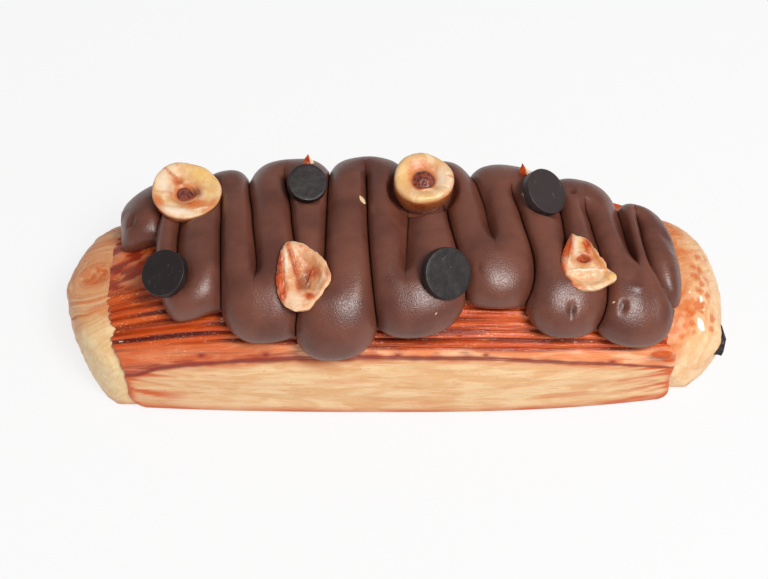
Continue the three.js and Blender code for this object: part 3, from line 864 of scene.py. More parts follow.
# The crease that is soft in its upper part only, and the angles between which that comes in
halfSoft = {"crease": 13, "from": 66, "to": 78}
frontReach = (92, 46, 32, 23, 34, 49, 34.5, 29.5, 56.5)
# How far each front turn hangs over to the right
frontSkew = (0, 0.08, 0.2, 0.12, 0, 0, 0, 0, -0.1)
backReach = (136, 128, 131, 129, 124, 124, 120, 110)
# The last crease runs out between the angles "lastFade". Where two runs come out of one turn, a slit between
# them goes over into the crease: "slitFade" and "slitRunOut" are degrees from the crease's front end.
# "steps" are the grid's steps across a run, round a turn, along the run and back under it.
piping = {
    "turnLift": 3.4,
    "turnHigh": 5.6,
    "turnRound": 8.6,
    "turnFlatness": 2.7,
    "turnSquareness": 2.3,
    "lastSquareness": 2.0,
    "runHigh": 8.6,
    "runSquareness": 2.4,
    "creaseFloor": 0.53,
    "lastCreaseFloor": 0.9,
    "lastFade": (64, 54),
    "creaseWidth": 0.15,
    "straightTo": (42, 116),
    "slitDepth": 0.4,
    "slitWidth": 0.22,
    "slitFade": (-1, 9),
    "slitRunOut": 26,
    "slitShare": 0.75,
    "frontBlend": 5,
    "backBlend": 4,
    "sunk": 0.9,
    "underSunk": 1.6,
    "poles": ((-56.0, 112, -4), (59.0, 84, -4)),
    "smoothings": 9,
    "smoothBelow": 0.04,
    "steps": (22, 15, 120, 5),
}
# Small holes and dents in the ganache: X, angle, size and depth in millimetres
pits = [
    (-57.4, 100, 0.7, 1.9), (39.6, 101, 0.6, 1.3), (37.3, 48.5, 0.8, 1.2), (48.5, 51.8, 0.8, 1.3),
    (18.2, 66, 0.4, 0.4),
]
# Soft furrows in the rope's back: X and angle of the points of a line, how deep and how wide
furrows = [
    {"line": [(-35, 107), (-33.9, 96), (-33.2, 90), (-33.4, 80)], "deep": 0.5, "wide": 0.8},
    {"line": [(58.7, 99), (59.2, 90), (61.2, 85)], "deep": 0.8, "wide": 1.0},
]
# Folds where the rope's skin doubled over: the middle and radius of an arc, and the way it faces
folds = [
    {"x": 51.9, "angle": 65.5, "radius": 2.5, "faces": -75, "deep": 0.3},
    {"x": 59.4, "angle": 79.0, "radius": 2.1, "faces": -90, "deep": 0.45},
]


def fromLine(x, arc, line):
    # How far each place on the flattened skin lies from a line of (X, angle) points
    points = [(px, arcAt(angle)) for px, angle in line]
    nearest = np.full(x.shape, 99.0)
    for (ax, ay), (bx, by) in zip(points, points[1:]):
        length = math.hypot(bx - ax, by - ay)
        along = np.clip(((x - ax) * (bx - ax) + (arc - ay) * (by - ay)) / length**2, 0, 1)
        nearest = np.minimum(nearest, np.hypot(x - ax - along * (bx - ax), arc - ay - along * (by - ay)))
    return nearest


def roundedBy(share, power):
    # 1 in the middle, falling to 0 at -1 and 1, the more suddenly the higher the power
    return (1 - np.abs(share) ** power) ** (1 / power)


def makeGanachePiece(toppings):
    runs = len(creaseLines) - 1
    across, around, along, under = piping["steps"]
    columns = runs * across + 2
    rows = 2 + 2 * around + along + under
    curves = np.array([np.polyfit(creaseAngles, line[:4], 3) for line in creaseLines])
    frontEnds, backEnds, softness = np.array(creaseLines)[:, 4:].T
    turnLift, turnHigh, turnRound = piping["turnLift"], piping["turnHigh"], piping["turnRound"]
    squareness = piping["turnSquareness"]
    creaseFloor, lastFloor = piping["creaseFloor"], piping["lastCreaseFloor"]
    startTilt = -math.asin(turnLift / turnHigh)

    def creaseX(k, angle):
        low, high = piping["straightTo"]
        clipped = np.clip(angle, np.maximum(frontEnds[k], low), np.minimum(backEnds[k], high))
        return sum(curves[k, power] * clipped ** (3 - power) for power in range(4))

    def turnOutline(share, left, right, reach, power):
        # The arc where the rope's turn meets the skin, between the creases on both sides of it
        q = roundedBy(share, power)
        line = arcAt(left) + (arcAt(right) - arcAt(left)) * (share + 1) / 2
        return line * (1 - q) + arcAt(reach) * q

    def turnHeight(tilt):
        # The round nose of a turn, flattening out smoothly where it becomes the run
        above = np.sqrt(np.maximum(1 - np.abs(np.cos(tilt)) ** piping["turnFlatness"], 0))
        return turnLift + turnHigh * np.where(tilt > 0, above, np.sin(tilt))

    def dome(share, floor):
        return floor + (1 - floor) * roundedBy(share, squareness)

    def rule(i, j):
        column = np.clip(i - 1, 0, runs * across)
        run = np.minimum(column // across, runs - 1)
        c = np.sin(math.pi * ((column - run * across) / across - 0.5))
        isFirst, isFinal, isEven = run == 0, run == runs - 1, run % 2 == 0
        isLoose = isFirst | isFinal

        # The turn at each end of the run: the creases outside it, and how far across it this column is
        frontLeft = np.where(isLoose | ~isEven, run, run - 1)
        frontRight = np.where(isLoose, run + 1, frontLeft + 2)
        frontShare = np.where(isLoose, c, np.where(isEven, (c + 1) / 2, (c - 1) / 2))
        backLeft = run - run % 2
        backShare = np.where(isEven, (c - 1) / 2, (c + 1) / 2)
        frontTurn = (run + 1) // 2
        square = np.where(isLoose, piping["lastSquareness"], squareness)
        frontTip, backTip = np.array(frontReach)[frontTurn], np.array(backReach)[run // 2]
        frontShare = frontShare - np.array(frontSkew)[frontTurn] * (1 - frontShare**2)
        frontArc = turnOutline(frontShare, frontEnds[frontLeft], frontEnds[frontRight], frontTip, square)
        backArc = turnOutline(backShare, backEnds[backLeft], backEnds[backLeft + 2], backTip, squareness)

        # Rows: up the front turn, along the run, down the back turn and back under the skin
        full = turnLift + turnHigh
        frontRow = np.clip((j - 1) / around, 0, 1)
        alongRow = np.clip((j - 1 - around) / along, 0, 1)
        backRow = np.clip((j - 1 - around - along) / around, 0, 1)
        underRow = np.clip((j - 2 - 2 * around - along) / under, 0, 1)
        frontTilt = startTilt + (math.pi / 2 - startTilt) * frontRow
        backTilt = math.pi / 2 - (math.pi / 2 - startTilt) * backRow
        isFront, isBack, isUnder = j <= 1 + around, j > 1 + around + along, j > 1 + 2 * around + along
        top, bottom = frontArc + turnRound, backArc - turnRound
        arc = top + (bottom - top) * alongRow
        arc = np.where(isFront, frontArc + turnRound * (1 - np.cos(frontTilt)), arc)
        arc = np.where(isBack, backArc - turnRound * (1 - np.cos(backTilt)), arc)
        tuck = turnRound * (1 - math.cos(startTilt))
        firstArc, lastArc = frontArc + tuck, backArc - tuck
        arc = np.where(isUnder, lastArc + (firstArc - lastArc) * underRow, arc)
        height = np.where(isFront, turnHeight(frontTilt), full)
        height = np.where(isBack, turnHeight(backTilt), height)
        angle = angleAt(arc)

        # The run's own round back, and the domes of the turns that it flows into; the last crease runs out
        leftX, rightX = creaseX(run, angle), creaseX(run + 1, angle)
        x = leftX + (rightX - leftX) * (c + 1) / 2
        side = np.where(c < 0, run, run + 1)
        pastEnd = angle - frontEnds[side]
        isFree = (isFirst & (c < 0)) | (isFinal & (c > 0))
        isLast = side == runs - 1
        lastFade = ramp(*piping["lastFade"], angle) * isLast
        floor = np.where(isFree, 0.0, creaseFloor + (lastFloor - creaseFloor) * lastFade)
        softPart = ramp(halfSoft["from"], halfSoft["to"], angle)
        soft = softness[side] * np.where(side == halfSoft["crease"], softPart, 1)
        isInner = (side % 2 == 0) & (side > 0) & (side < runs)
        runOut = ramp(piping["slitRunOut"], 0, pastEnd) * isInner
        crisp = floor + (1 - floor) * roundedBy(np.minimum(np.abs(c), 1), piping["runSquareness"])
        gentle = floor + (1 - floor) * (0.5 + 0.5 * np.cos(math.pi * c))
        cut = piping["slitDepth"] * hill(np.abs(c), 1, piping["slitWidth"])
        slit = 1 - cut * ramp(*piping["slitFade"], pastEnd)
        slitShare = piping["slitShare"] * runOut
        runShape = (crisp * (1 - soft) + gentle * soft) * (1 - slitShare) + slit * slitShare
        runShape *= piping["runHigh"] / full
        frontInner = frontEnds[np.where(isEven, run, run + 1)]
        inFront = np.where(isLoose, 0, ramp(piping["frontBlend"], -piping["frontBlend"], angle - frontInner))
        inBack = ramp(-piping["backBlend"], piping["backBlend"], angle - backEnds[backLeft + 1])
        share = runShape * (1 - inFront - inBack)
        share += dome(frontShare, np.where(isLast, lastFloor, creaseFloor)) * inFront
        share += dome(backShare, creaseFloor) * inBack
        lift = height * share

        flat = np.stack([x, arc, 0 * x], -1)
        swell = 0.5 * wander(flat, (9, 11, 1), 41) + 0.18 * wander(flat, (3.5, 5, 1), 42)
        lift += np.clip(share, 0, 1) * swell * height / full
        for furrow in furrows:
            lift -= furrow["deep"] * hill(fromLine(x, arc, furrow["line"]), 0, furrow["wide"])
        for fold in folds:
            dx, dy = x - fold["x"], arc - arcAt(fold["angle"])
            facing = np.cos(np.arctan2(dy, dx) - fold["faces"] * degree)
            reach = np.hypot(dx, dy)
            step = ramp(fold["radius"] + 0.2, fold["radius"] - 0.2, reach) * ramp(0, fold["radius"], reach)
            lift += fold["deep"] * ramp(0.1, 0.9, facing) * step
        isSunk = (j == 0) | isUnder | (i == 0) | (i == columns)
        isSide = (isFirst & (c <= -1)) | (isFinal & (c >= 1))
        lift = np.where(isSunk | isSide, -piping["sunk"], lift)
        lift = np.where(isUnder & (underRow < 1), -piping["underSunk"], lift)
        spot, _ = skinAt(x, angle, lift)
        for end, pole in zip((0, columns), piping["poles"]):
            spot[i == end] = skinAt(*pole)[0]

        # How close the crease is, for the painted shade in it, and where there is no crease to shade
        fromCrease = (1 - np.abs(c)) * (rightX - leftX) / 2
        isOuterFront = np.where(isEven, c > 0, c < 0)
        isOuterBack = np.where(isEven, c < 0, c > 0)
        keep = (1 - inFront * (1 - isOuterFront) - inBack * (1 - isOuterBack)) * ~isFree
        keep = keep * (1 - 0.9 * lastFade) * (1 - 0.3 * runOut) * (1 - 0.6 * soft)
        return spot, {"crease": np.clip(hill(fromCrease, 0, piping["creaseWidth"]) * keep, 0, 1)}

    shape = newShape("crease")
    addGrid(shape, columns, rows, rule)
    crease = shape.verts.layers.float["crease"]
    smoothPoints(shape, [v for v in shape.verts if v[crease] < piping["smoothBelow"]], piping["smoothings"])
    places, dark = pressPits(np.array([v.co for v in shape.verts]))
    places = makeWayFor(places, toppings)
    for v, place, shade in zip(shape.verts, places, dark):
        v.co = place
        v[crease] = max(v[crease], shade)
    return newPiece("ganachePiped", shape, ganacheLook, "ganache", "ganache")


def makeWayFor(places, toppings):
    # Presses the ganache down under each topping and lets it stand round its side
    rise, around, soft, deepest = 9, 6, 1.1, 9
    spots = places.copy()
    for place, radius, below in toppings:
        matrix = np.array(placeOnRoll(place))
        local = (spots - matrix[:3, 3]) @ matrix[:3, :3]
        reach = np.hypot(local[:, 0], local[:, 1])
        limit = -below + rise * ramp(radius - 0.2, radius + 2.4, reach)
        # The smaller of the two heights, with a soft edge where they cross
        lowered = (local[:, 2] + limit - np.hypot(local[:, 2] - limit, soft)) / 2
        isNear = (np.abs(local[:, 2]) < deepest) & (reach < radius + around)
        local[:, 2] = np.where(isNear, lowered, local[:, 2])
        spots = local @ matrix[:3, :3].T + matrix[:3, 3]
    return spots


def pressPits(places):
    # Presses each small hole straight in, with a low rim round it, and says how much painted shade each point
    # gets in it
    surface, upward, reachIn = 8, 0.25, 4
    spots = places.copy()
    dark = np.zeros(len(places))
    for x, angle, size, deep in pits:
        centre, out = skinAt(x, angle, surface)
        out = out + (0, 0, upward)
        out = out / np.linalg.norm(out)
        away = spots - centre
        along = away @ out
        reach = np.linalg.norm(away - along[:, None] * out, axis=1)
        isNear = np.abs(along) < reachIn
        push = deep * hill(reach, 0, size) - 0.12 * hill(reach, 1.9 * size, 0.4 * size)
        spots -= out * (push * isNear)[:, None]
        # Painted shade in the hole
        dark = np.maximum(dark, 0.75 * hill(reach, 0, 0.9 * size) * isNear)
    return spots, dark


# Dark chocolate discs

discSize = {"thickness": 2.0, "draft": 0.08, "edge": 0.16, "sides": 96, "rings": 6}
discs = [
    {"x": -47.9, "angle": 68.0, "lift": 9.3, "lean": -21, "tip": -10.6, "radius": 5.1, "below": 0.6},
    {"x": -18.4, "angle": 97, "lift": 9.9, "lean": 8.6, "tip": -26, "radius": 4.3, "below": 0.6},
    {"x": 11.2, "angle": 62.3, "lift": 9.2, "lean": 26, "tip": -18.7, "radius": 5.5, "below": -0.2},
    # The last disc is painted lighter all over, for the light it faces
    {
        "x": 32.9, "angle": 96, "lift": 9.5, "lean": 33, "tip": -21.9, "radius": 5.25, "below": 0.6,
        "bloom": 0.7,
    },
]


def makeDisc(number, disc):
    shape = newShape("bloom", flow=True)
    radius, edge, rings = disc["radius"], discSize["edge"], discSize["rings"]
    bmesh.ops.create_cone(
        shape,
        cap_ends=True,
        segments=discSize["sides"],
        radius1=radius,
        radius2=radius - discSize["draft"],
        depth=discSize["thickness"],
    )
    rims = list({e for f in shape.faces if len(f.verts) > 4 for e in f.edges})
    bmesh.ops.bevel(shape, geom=rims, offset=edge, segments=4, profile=0.5, affect="EDGES", material=-1)
    caps = [f for f in shape.faces if len(f.verts) > 4]
    for _ in range(rings):
        bmesh.ops.inset_region(shape, faces=caps, thickness=radius / (rings + 1), depth=0)
    places = np.array([v.co for v in shape.verts])
    rough = wander(places + 40 * number, 1.1, 1)
    rim = ramp(radius - 1.0, radius, np.hypot(places[:, 0], places[:, 1]))
    turn = 1.3 * number
    across = places[:, 0] * math.cos(turn) + places[:, 1] * math.sin(turn)
    aside = places[:, 1] * math.cos(turn) - places[:, 0] * math.sin(turn)
    flow = np.stack([across, aside, places[:, 2] + 9 * number], -1)
    setMarks(shape, shape.verts, {"flow": flow, "bloom": disc.get("bloom", 0)})
    for v, lump, amount in zip(shape.verts, rough, rim):
        v.co.xy *= 1 + 0.005 * lump * amount
        v.co.z += 0.04 * lump
    bmesh.ops.transform(shape, matrix=placeOnRoll(disc), verts=shape.verts)
    closeUp(shape)
    newPiece(f"chocolateDisc{number}", shape, chocolateLook, "dark_chocolate", f"chocolate_disc_{number}")


# Hazelnuts

# Coloured patches on a nut's cut face, by their mark: the middle, two half sizes, a turn in degrees and a
# strength. Dents have the same places and a depth; below 0 they stand out.
nutHalves = [
    {
        "name": "nutHalfLeft",
        "node": "hazelnut_half_left",
        "place": {"x": -45.2, "angle": 104, "lift": 9.4, "lean": 8, "tip": -20},
        "radius": 7.4,
        "below": 1.5,
        "room": -0.3,
        "blunt": 0.7,
        "deep": 4.8,
        "core": 1.75,
        "coreAt": (-0.2, -0.3),
        "lip": [(0.0, 0.1), (0.08, 0.42), (0.4, 0.66), (1.0, 0.66), (2.0, 0.42), (3.2, 0.2)],
        "funnel": [(1.3, -0.05), (0.7, -0.35), (0.3, -0.75), (0.0, -0.9), (-0.2, -0.7), (-0.6, -0.42)],
        "patches": {
            "gold": [(3.4, 4.2, 3.2, 2.0, -30, 0.8), (5.2, 0.5, 1.3, 3.0, 0, 0.4)],
            "warm": [
                (2.3, -3.3, 2.9, 1.1, 18, 0.95), (5.6, -3.4, 1, 2.4, -30, 0.7), (-4, -0.6, 2.4, 0.3, 2, 0.6),
                (-1.9, 2.5, 1.3, 1.2, 40, 0.9), (-5.4, -3.9, 0.9, 2.6, 30, 0.9),
            ],
            # The first white patch, low on the face, is a painted highlight
            "white": [(-1.7, -5.5, 3.1, 0.95, -8, 1.0), (-4.9, 1.8, 1.4, 2.4, 10, 0.75)],
            # The second core patch, right of the core, is painted shade in the dent there
            "core": [(-1.7, 2.3, 0.7, 0.6, 40, 0.35), (1.9, 0.2, 1.2, 1.1, 0, 0.75)],
            "skin": [(-3.4, 4.0, 2.3, 0.25, -40, 0.7)],
        },
        "dents": [
            (-1.9, 2.6, 1.0, 0.9, 40, 0.55), (1.9, 0.1, 1.1, 1.1, 0, 0.6), (-3.4, 4.0, 2.4, 0.22, -40, 0.35),
            (3.6, -4.3, 1.8, 0.3, 25, -0.3), (-1.8, -5.2, 3.0, 0.6, -8, -0.2),
        ],
    },
    {
        "name": "nutHalfMid",
        "node": "hazelnut_half_mid",
        "place": {"x": 6.7, "angle": 97, "lift": 10.7, "lean": 3, "tip": -18},
        "radius": 6.4,
        "below": 6.4,
        "room": 0.5,
        "blunt": 0.36,
        "deep": 8.0,
        "core": 2.3,
        "coreAt": (0.0, -0.1),
        "lip": [(0.0, -0.5), (0.05, 0.2), (0.35, 0.8), (0.9, 1.1), (1.6, 1.05), (2.4, 0.75)],
        "funnel": [(1.0, 0.35), (0.5, 0.1), (0.15, -0.25), (-0.15, -0.5), (-0.55, -0.2), (-1.2, 0.15)],
        "patches": {
            "gold": [(-4.6, 1.0, 1.8, 4.0, 0, 0.5), (0.5, -5.6, 3.0, 1.2, 0, 0.5)],
            "white": [(4.4, -0.6, 1.7, 2.4, 0, 0.6)],
            "warm": [
                (-0.4, 2.6, 2.6, 1.3, 0, 0.8), (-2.4, 1, 0.9, 1.6, 20, 0.7), (2.5, 1.6, 0.6, 1.2, -30, 0.6),
            ],
            "skin": [(5.6, 0.6, 0.9, 0.25, 0, 0.5)],
        },
        "dents": [
            (5.9, 0.6, 0.9, 0.3, 0, 0.7), (0.4, -2.8, 1.2, 0.5, 0, -0.5), (4.4, -2.2, 2.0, 0.25, -20, 0.25),
        ],
    },
]
nutHalfShape = {"ovalness": 0.025, "threeSidedness": 0.025}
# A wedge's outline is seen square on: across the log, then up it
nutWedges = [
    {
        "name": "nutWedgeLeft",
        "node": "hazelnut_wedge_left",
        "place": {"x": -18.3, "angle": 62.0, "lift": 9.6},
        "outline": [
            (-3.7, 7.5), (-0.9, 7.1), (1.3, 5.8), (3.6, 4), (5, 1.4), (5.5, -1.2), (4.2, -3), (2.3, -5.7),
            (1.2, -7.4), (-1.8, -7.8), (-3.8, -6.8), (-5.2, -4.7), (-5.7, -2.1), (-5.6, 1.1), (-5.2, 3.9),
            (-4.4, 6.7),
        ],
        "patches": {
            "skin": [
                (-5.2, 2.8, 0.8, 3, 0, 1), (-5.3, -1.2, 1.25, 3.4, 0, 1), (-4.6, -4.6, 0.9, 2.6, -18, 1),
                (-3, 4.8, 0.5, 2.6, 17, 0.85), (-1.9, 1.4, 0.6, 2.4, 12, 0.85), (-1.2, -2, 0.6, 2, 8, 0.8),
                (1.5, 0.9, 1.3, 1.3, 0, 0.85), (1.1, -4.6, 1.2, 0.8, 0, 1.0), (4.8, 0.3, 0.5, 1.1, 10, 0.6),
            ],
            "warm": [
                (0.0, 0.0, 9.0, 9.0, 0, 0.42), (0.6, 0.9, 3.3, 4.8, 12, 0.6), (-0.5, 6.1, 1.0, 0.4, -30, 0.9),
                (-3.6, 6.7, 0.5, 0.6, 0, 0.9),
            ],
            "core": [(0.6, 1.2, 2.8, 4.0, 12, 0.2), (0.1, -1.0, 1.3, 2.0, -10, 0.7)],
            "white": [
                (-3.9, 2.8, 0.45, 2.6, 6, 0.9), (-2, -5.6, 1.8, 1.5, 0, 0.5), (3.3, -1.6, 0.4, 3, -25, 0.5),
            ],
        },
        "dents": [
            (0.6, 0.6, 2.4, 4.0, 12, 1.7), (0.2, -1.4, 0.8, 1.4, 0, 0.7), (-2.2, 2.6, 0.35, 3.6, 14, 0.4),
            (1.0, -0.4, 0.25, 1.6, -20, -0.4), (-4.4, 0.0, 0.3, 6.0, 2, 0.3),
        ],
        "depth": 4.6,
    },
    {
        "name": "nutWedgeRight",
        "node": "hazelnut_wedge_right",
        "place": {"x": 41.2, "angle": 70.0, "lift": 9.4},
        "outline": [
            (-3.2, 6.9), (-1.8, 6.1), (-0.8, 6.1), (0.3, 5.3), (1.2, 3.5), (2.4, 1.3), (3.8, -1.7),
            (5.6, -3.2), (5.5, -4.3), (4, -5.1), (1.8, -6.3), (-0.7, -6.6), (-2.3, -6.4), (-3.8, -5.4),
            (-5, -3.5), (-5.6, -0.8), (-5.6, 1.2), (-4.8, 3.5), (-3.6, 5.9),
        ],
        "patches": {
            "skin": [
                (-4.5, 3.4, 1.3, 3.6, -16, 1), (-5.6, -1.7, 0.8, 2.6, 6, 1), (-4.7, -4.5, 0.8, 2.2, 35, 1),
                (-0.1, 4.3, 0.9, 1.7, 0, 1), (-0.2, 2.6, 0.7, 1.2, 0, 0.9), (-1, 0.7, 1.8, 1.1, 5, 1),
            ],
            "warm": [
                (-2.2, -6.2, 2.2, 0.7, -15, 0.9), (0, 0, 9, 9, 0, 0.2), (-0.8, -0.9, 1.6, 0.7, 0, 0.5),
                (-0.4, -3.8, 2.4, 1.3, -5, 0.3), (1.8, 0.8, 1.3, 4.0, 28, 0.65),
            ],
            "white": [
                (-2.5, 3.4, 0.6, 2.8, 0, 0.8), (-4.2, 0.0, 0.4, 1.6, 25, 0.7), (-0.6, -2.1, 2.7, 0.3, 3, 0.9),
            ],
            "gold": [(-1.4, 3.9, 0.5, 1.6, 0, 0.7), (4.6, -3.7, 1.0, 0.9, 0, 0.7)],
            "core": [(-0.9, 0.6, 1.0, 0.6, 5, 0.6)],
        },
        "dents": [
            (-1.0, 0.7, 1.1, 0.7, 5, 1.2), (-0.2, -3.9, 2.4, 1.2, 0, 0.8), (-0.5, -2.1, 2.8, 0.3, 3, -0.5),
            (0.8, 2.2, 0.5, 3.6, 24, 0.5), (4.6, -3.7, 0.9, 0.9, 0, -0.6), (-3.6, 3.4, 0.25, 3.0, -10, -0.35),
        ],
        "depth": 4.2,
    },
]
# The dent that a wedge presses into the ganache, round and deep in millimetres
wedgeBed = {"radius": 4.4, "below": 2.2}
nutChips = [
    {
        "name": "nutChipLeft",
        "node": "hazelnut_chip_left",
        "place": {"x": -18.9, "angle": 114, "lift": 8.2, "turn": 10},
        "size": (3.4, 1.4, 3.4),
        "spike": (0.2, 0.35),
    },
    {
        "name": "nutChipMid",
        "node": "hazelnut_chip_mid",
        "place": {"x": 29.3, "angle": 107, "lift": 8.6, "lean": -8, "turn": -10},
        "size": (3.6, 1.4, 4.6),
        "spike": (-0.25, 0.35),
    },
]


def blobs(x, y, middleX, middleY, halfX, halfY, turn):
    # 1 in the middle of a turned oval patch, falling to 0 round it
    dx, dy = x - middleX, y - middleY
    cosine, sine = math.cos(turn * degree), math.sin(turn * degree)
    away = ((dx * cosine + dy * sine) / halfX) ** 2 + ((dy * cosine - dx * sine) / halfY) ** 2
    return np.exp(-0.7 * away**1.6)


def paintNut(x, y, nut, isFace, seed):
    # The marks of a nut's patches, with ragged edges, and how deep its dents go
    spots = np.stack([x, y, 0 * x], -1)
    x = x + 0.22 * wander(spots, 1.1, seed)
    y = y + 0.22 * wander(spots, 1.1, seed + 1)
    marks = {name: np.zeros(len(x)) for name in nutMarks}
    for name, patches in nut["patches"].items():
        for *patch, strength in patches:
            marks[name] = np.maximum(marks[name], strength * blobs(x, y, *patch) * isFace)
    dents = sum(deep * blobs(x, y, *dent) for *dent, deep in nut["dents"])
    return marks, dents * isFace


def newNut(nut, shape):
    bmesh.ops.transform(shape, matrix=placeOnRoll(nut["place"]), verts=shape.verts)
    newPiece(nut["name"], shape, nutLook, "hazelnut", nut["node"])


def makeNutHalf(nut, seed):
    # A nut cut across: a dome below, a rounded lip above and a small core at the bottom of a funnel
    r, core, deep = nut["radius"], nut["core"], nut["deep"]
    profile = [(r * math.sin(a) ** nut["blunt"], -deep * math.cos(a)) for a in np.linspace(0, 1.5, 20)]
    profile += [(r - inward, height) for inward, height in nut["lip"]]
    profile += [(core + outward, height) for outward, height in nut["funnel"]]
    profile += [(0, nut["funnel"][-1][1] + 0.05)]
    shape = newShape(*nutMarks)
    line = [shape.verts.new((x, 0, z)) for x, z in profile]
    edges = [shape.edges.new(pair) for pair in zip(line, line[1:])]
    bmesh.ops.subdivide_edges(shape, edges=edges, cuts=3)
    bmesh.ops.spin(
        shape,
        geom=shape.verts[:] + shape.edges[:],
        cent=(0, 0, 0),
        axis=(0, 0, 1),
        angle=2 * math.pi,
        steps=150,
        use_merge=True,
    )
    closeUp(shape, 1e-3)
    smoothPoints(shape, shape.verts, 2)
    shape.normal_update()
    places = np.array([v.co for v in shape.verts])
    around = np.arctan2(places[:, 1], places[:, 0])
    reach = np.hypot(places[:, 0], places[:, 1])
    isFace = (places[:, 2] > -1.9) & (reach < r - 0.05)
    shift = ramp(core + 3.0, core + 1.0, reach) * isFace
    x = places[:, 0] + shift * nut["coreAt"][0]
    y = places[:, 1] + shift * nut["coreAt"][1]
    marks, dents = paintNut(x, y, nut, isFace, seed + 6)
    swell = 1 + nutHalfShape["ovalness"] * np.cos(2 * around)
    swell += nutHalfShape["threeSidedness"] * np.cos(3 * around + seed)
    lumps = 0.2 * wander(places, 4.2, seed + 1) + 0.05 * wander(places, 1.1, seed + 2)
    lumps += 0.3 * wander(places, 0.7, seed + 5) * ramp(core + 0.1, core - 0.7, reach) * isFace
    for v, newX, newY, s, lump, dent in zip(shape.verts, x, y, swell, lumps, dents):
        v.co.x, v.co.y = newX * s, newY * s
        v.co += v.normal * lump
        v.co.z -= dent
    sideSkin = ramp(0.35, -0.25, places[:, 2]) * (reach > core + 1)
    extra = {
        "skin": [sideSkin * (0.5 + 0.7 * wander(places, 4, seed + 4))],
        "core": [ramp(core + 0.3, core - 0.1, reach) * isFace],
        "warm": [
            0.8 * ramp(core + 1.5, core + 0.3, reach) * isFace,
            0.7 * ramp(0.75, 0.1, places[:, 2]) * (reach > r - 1),
        ],
    }
    for name, values in marks.items():
        marks[name] = np.clip(np.maximum.reduce([values] + extra.get(name, [])), 0, 1)
    setMarks(shape, shape.verts, marks)
    newNut(nut, shape)


def makeNutWedge(nut, seed):
    # A broken piece of nut: a torn outline, a hollow in its face and a rounded, skinned underside
    faceRings, sideRings, around = 46, 20, 170
    points = np.array(nut["outline"])
    turns = np.mod(np.arctan2(points[:, 1], points[:, 0]), 2 * math.pi)
    order = np.argsort(turns)
    steps = np.arange(around) * 2 * math.pi / around
    outline = np.interp(steps, turns[order], np.hypot(points[:, 0], points[:, 1])[order], period=2 * math.pi)
    outline = (np.roll(outline, 1) + 2 * outline + np.roll(outline, -1)) / 4

    def rule(i, j):
        turn = 2 * math.pi * j / around
        edge = outline[j % around]
        face = np.clip(i / faceRings, 0, 1)
        side = np.clip((i - faceRings) / sideRings, 0, 1) * math.pi / 2
        share = face**0.9 * np.cos(side) ** 0.5
        x, y = edge * share * np.cos(turn), edge * share * np.sin(turn)
        marks, dents = paintNut(x, y, nut, side == 0, seed + 6)
        z = 0.35 * ramp(1.0, 0.9, face) - 0.2 - nut["depth"] * np.sin(side) - dents
        spot = np.stack([x, y, z], -1)
        lump = wander(spot, 2.6, seed)
        chop = wander(spot, 0.8, seed + 1)
        spot[:, 2] += 0.25 * lump + 0.1 * chop
        spot[:, :2] *= 1 + (0.02 * lump + 0.02 * chop)[:, None] * (face > 0.5)[:, None]
        marks["skin"] = np.maximum(marks["skin"], ramp(0.05, 0.4, side) * (0.8 + 0.5 * lump))
        paleRim = 0.3 * ramp(0.9, 0.97, face) * (side == 0) * (1 - marks["skin"])
        marks["white"] = np.maximum(marks["white"], paleRim)
        return spot, {name: np.clip(values, 0, 1) for name, values in marks.items()}

    shape = newShape(*nutMarks)
    addGrid(shape, faceRings + sideRings, around, rule)
    newNut(nut, shape)


def makeNutChip(nut, seed):
    # A thin splinter of nut standing up to a point, with a pale edge on one side
    shape = newShape(*nutMarks)
    bmesh.ops.create_icosphere(shape, subdivisions=5, radius=1)
    long, wide, high = nut["size"]
    places = np.array([v.co for v in shape.verts])
    lump = wander(places, 0.5, seed)
    up = (places[:, 2] + 1) / 2
    narrow = 1 - 0.9 * up**2
    x = (places[:, 0] * (1 + 0.4 * lump) * narrow + nut["spike"][0] * up**2) * long / 2
    y = places[:, 1] * (1 + 0.3 * lump) * narrow * wide / 2
    z = (places[:, 2] + nut["spike"][1] * up**3 + 0.25 * lump * (1 - up)) * high / 2
    for v, spot in zip(shape.verts, np.stack([x, y, z], -1)):
        v.co = spot
    paleEdge = ramp(0.35, 0.7, places[:, 0] + 0.3 * lump)
    setMarks(shape, shape.verts, {"skin": 1 - paleEdge, "white": paleEdge, "warm": 0.3})
    bmesh.ops.recalc_face_normals(shape, faces=shape.faces)
    newNut(nut, shape)


for number, disc in enumerate(discs, 1):
    makeDisc(number, disc)
nutKinds = ((50, makeNutHalf, nutHalves), (70, makeNutWedge, nutWedges), (90, makeNutChip, nutChips))
for seed, makeKind, nuts in nutKinds:
    for number, nut in enumerate(nuts):
        makeKind(nut, seed + 7 * number)

beds = [(disc, disc["radius"], disc["below"]) for disc in discs]
beds += [(nut["place"], nut["radius"] + nut["room"], nut["below"]) for nut in nutHalves]
beds += [(nut["place"], wedgeBed["radius"], wedgeBed["below"]) for nut in nutWedges]
ganachePiece = makeGanachePiece(beds)


# Loose bits: sugar on the right end and crumbs of nut on the ganache

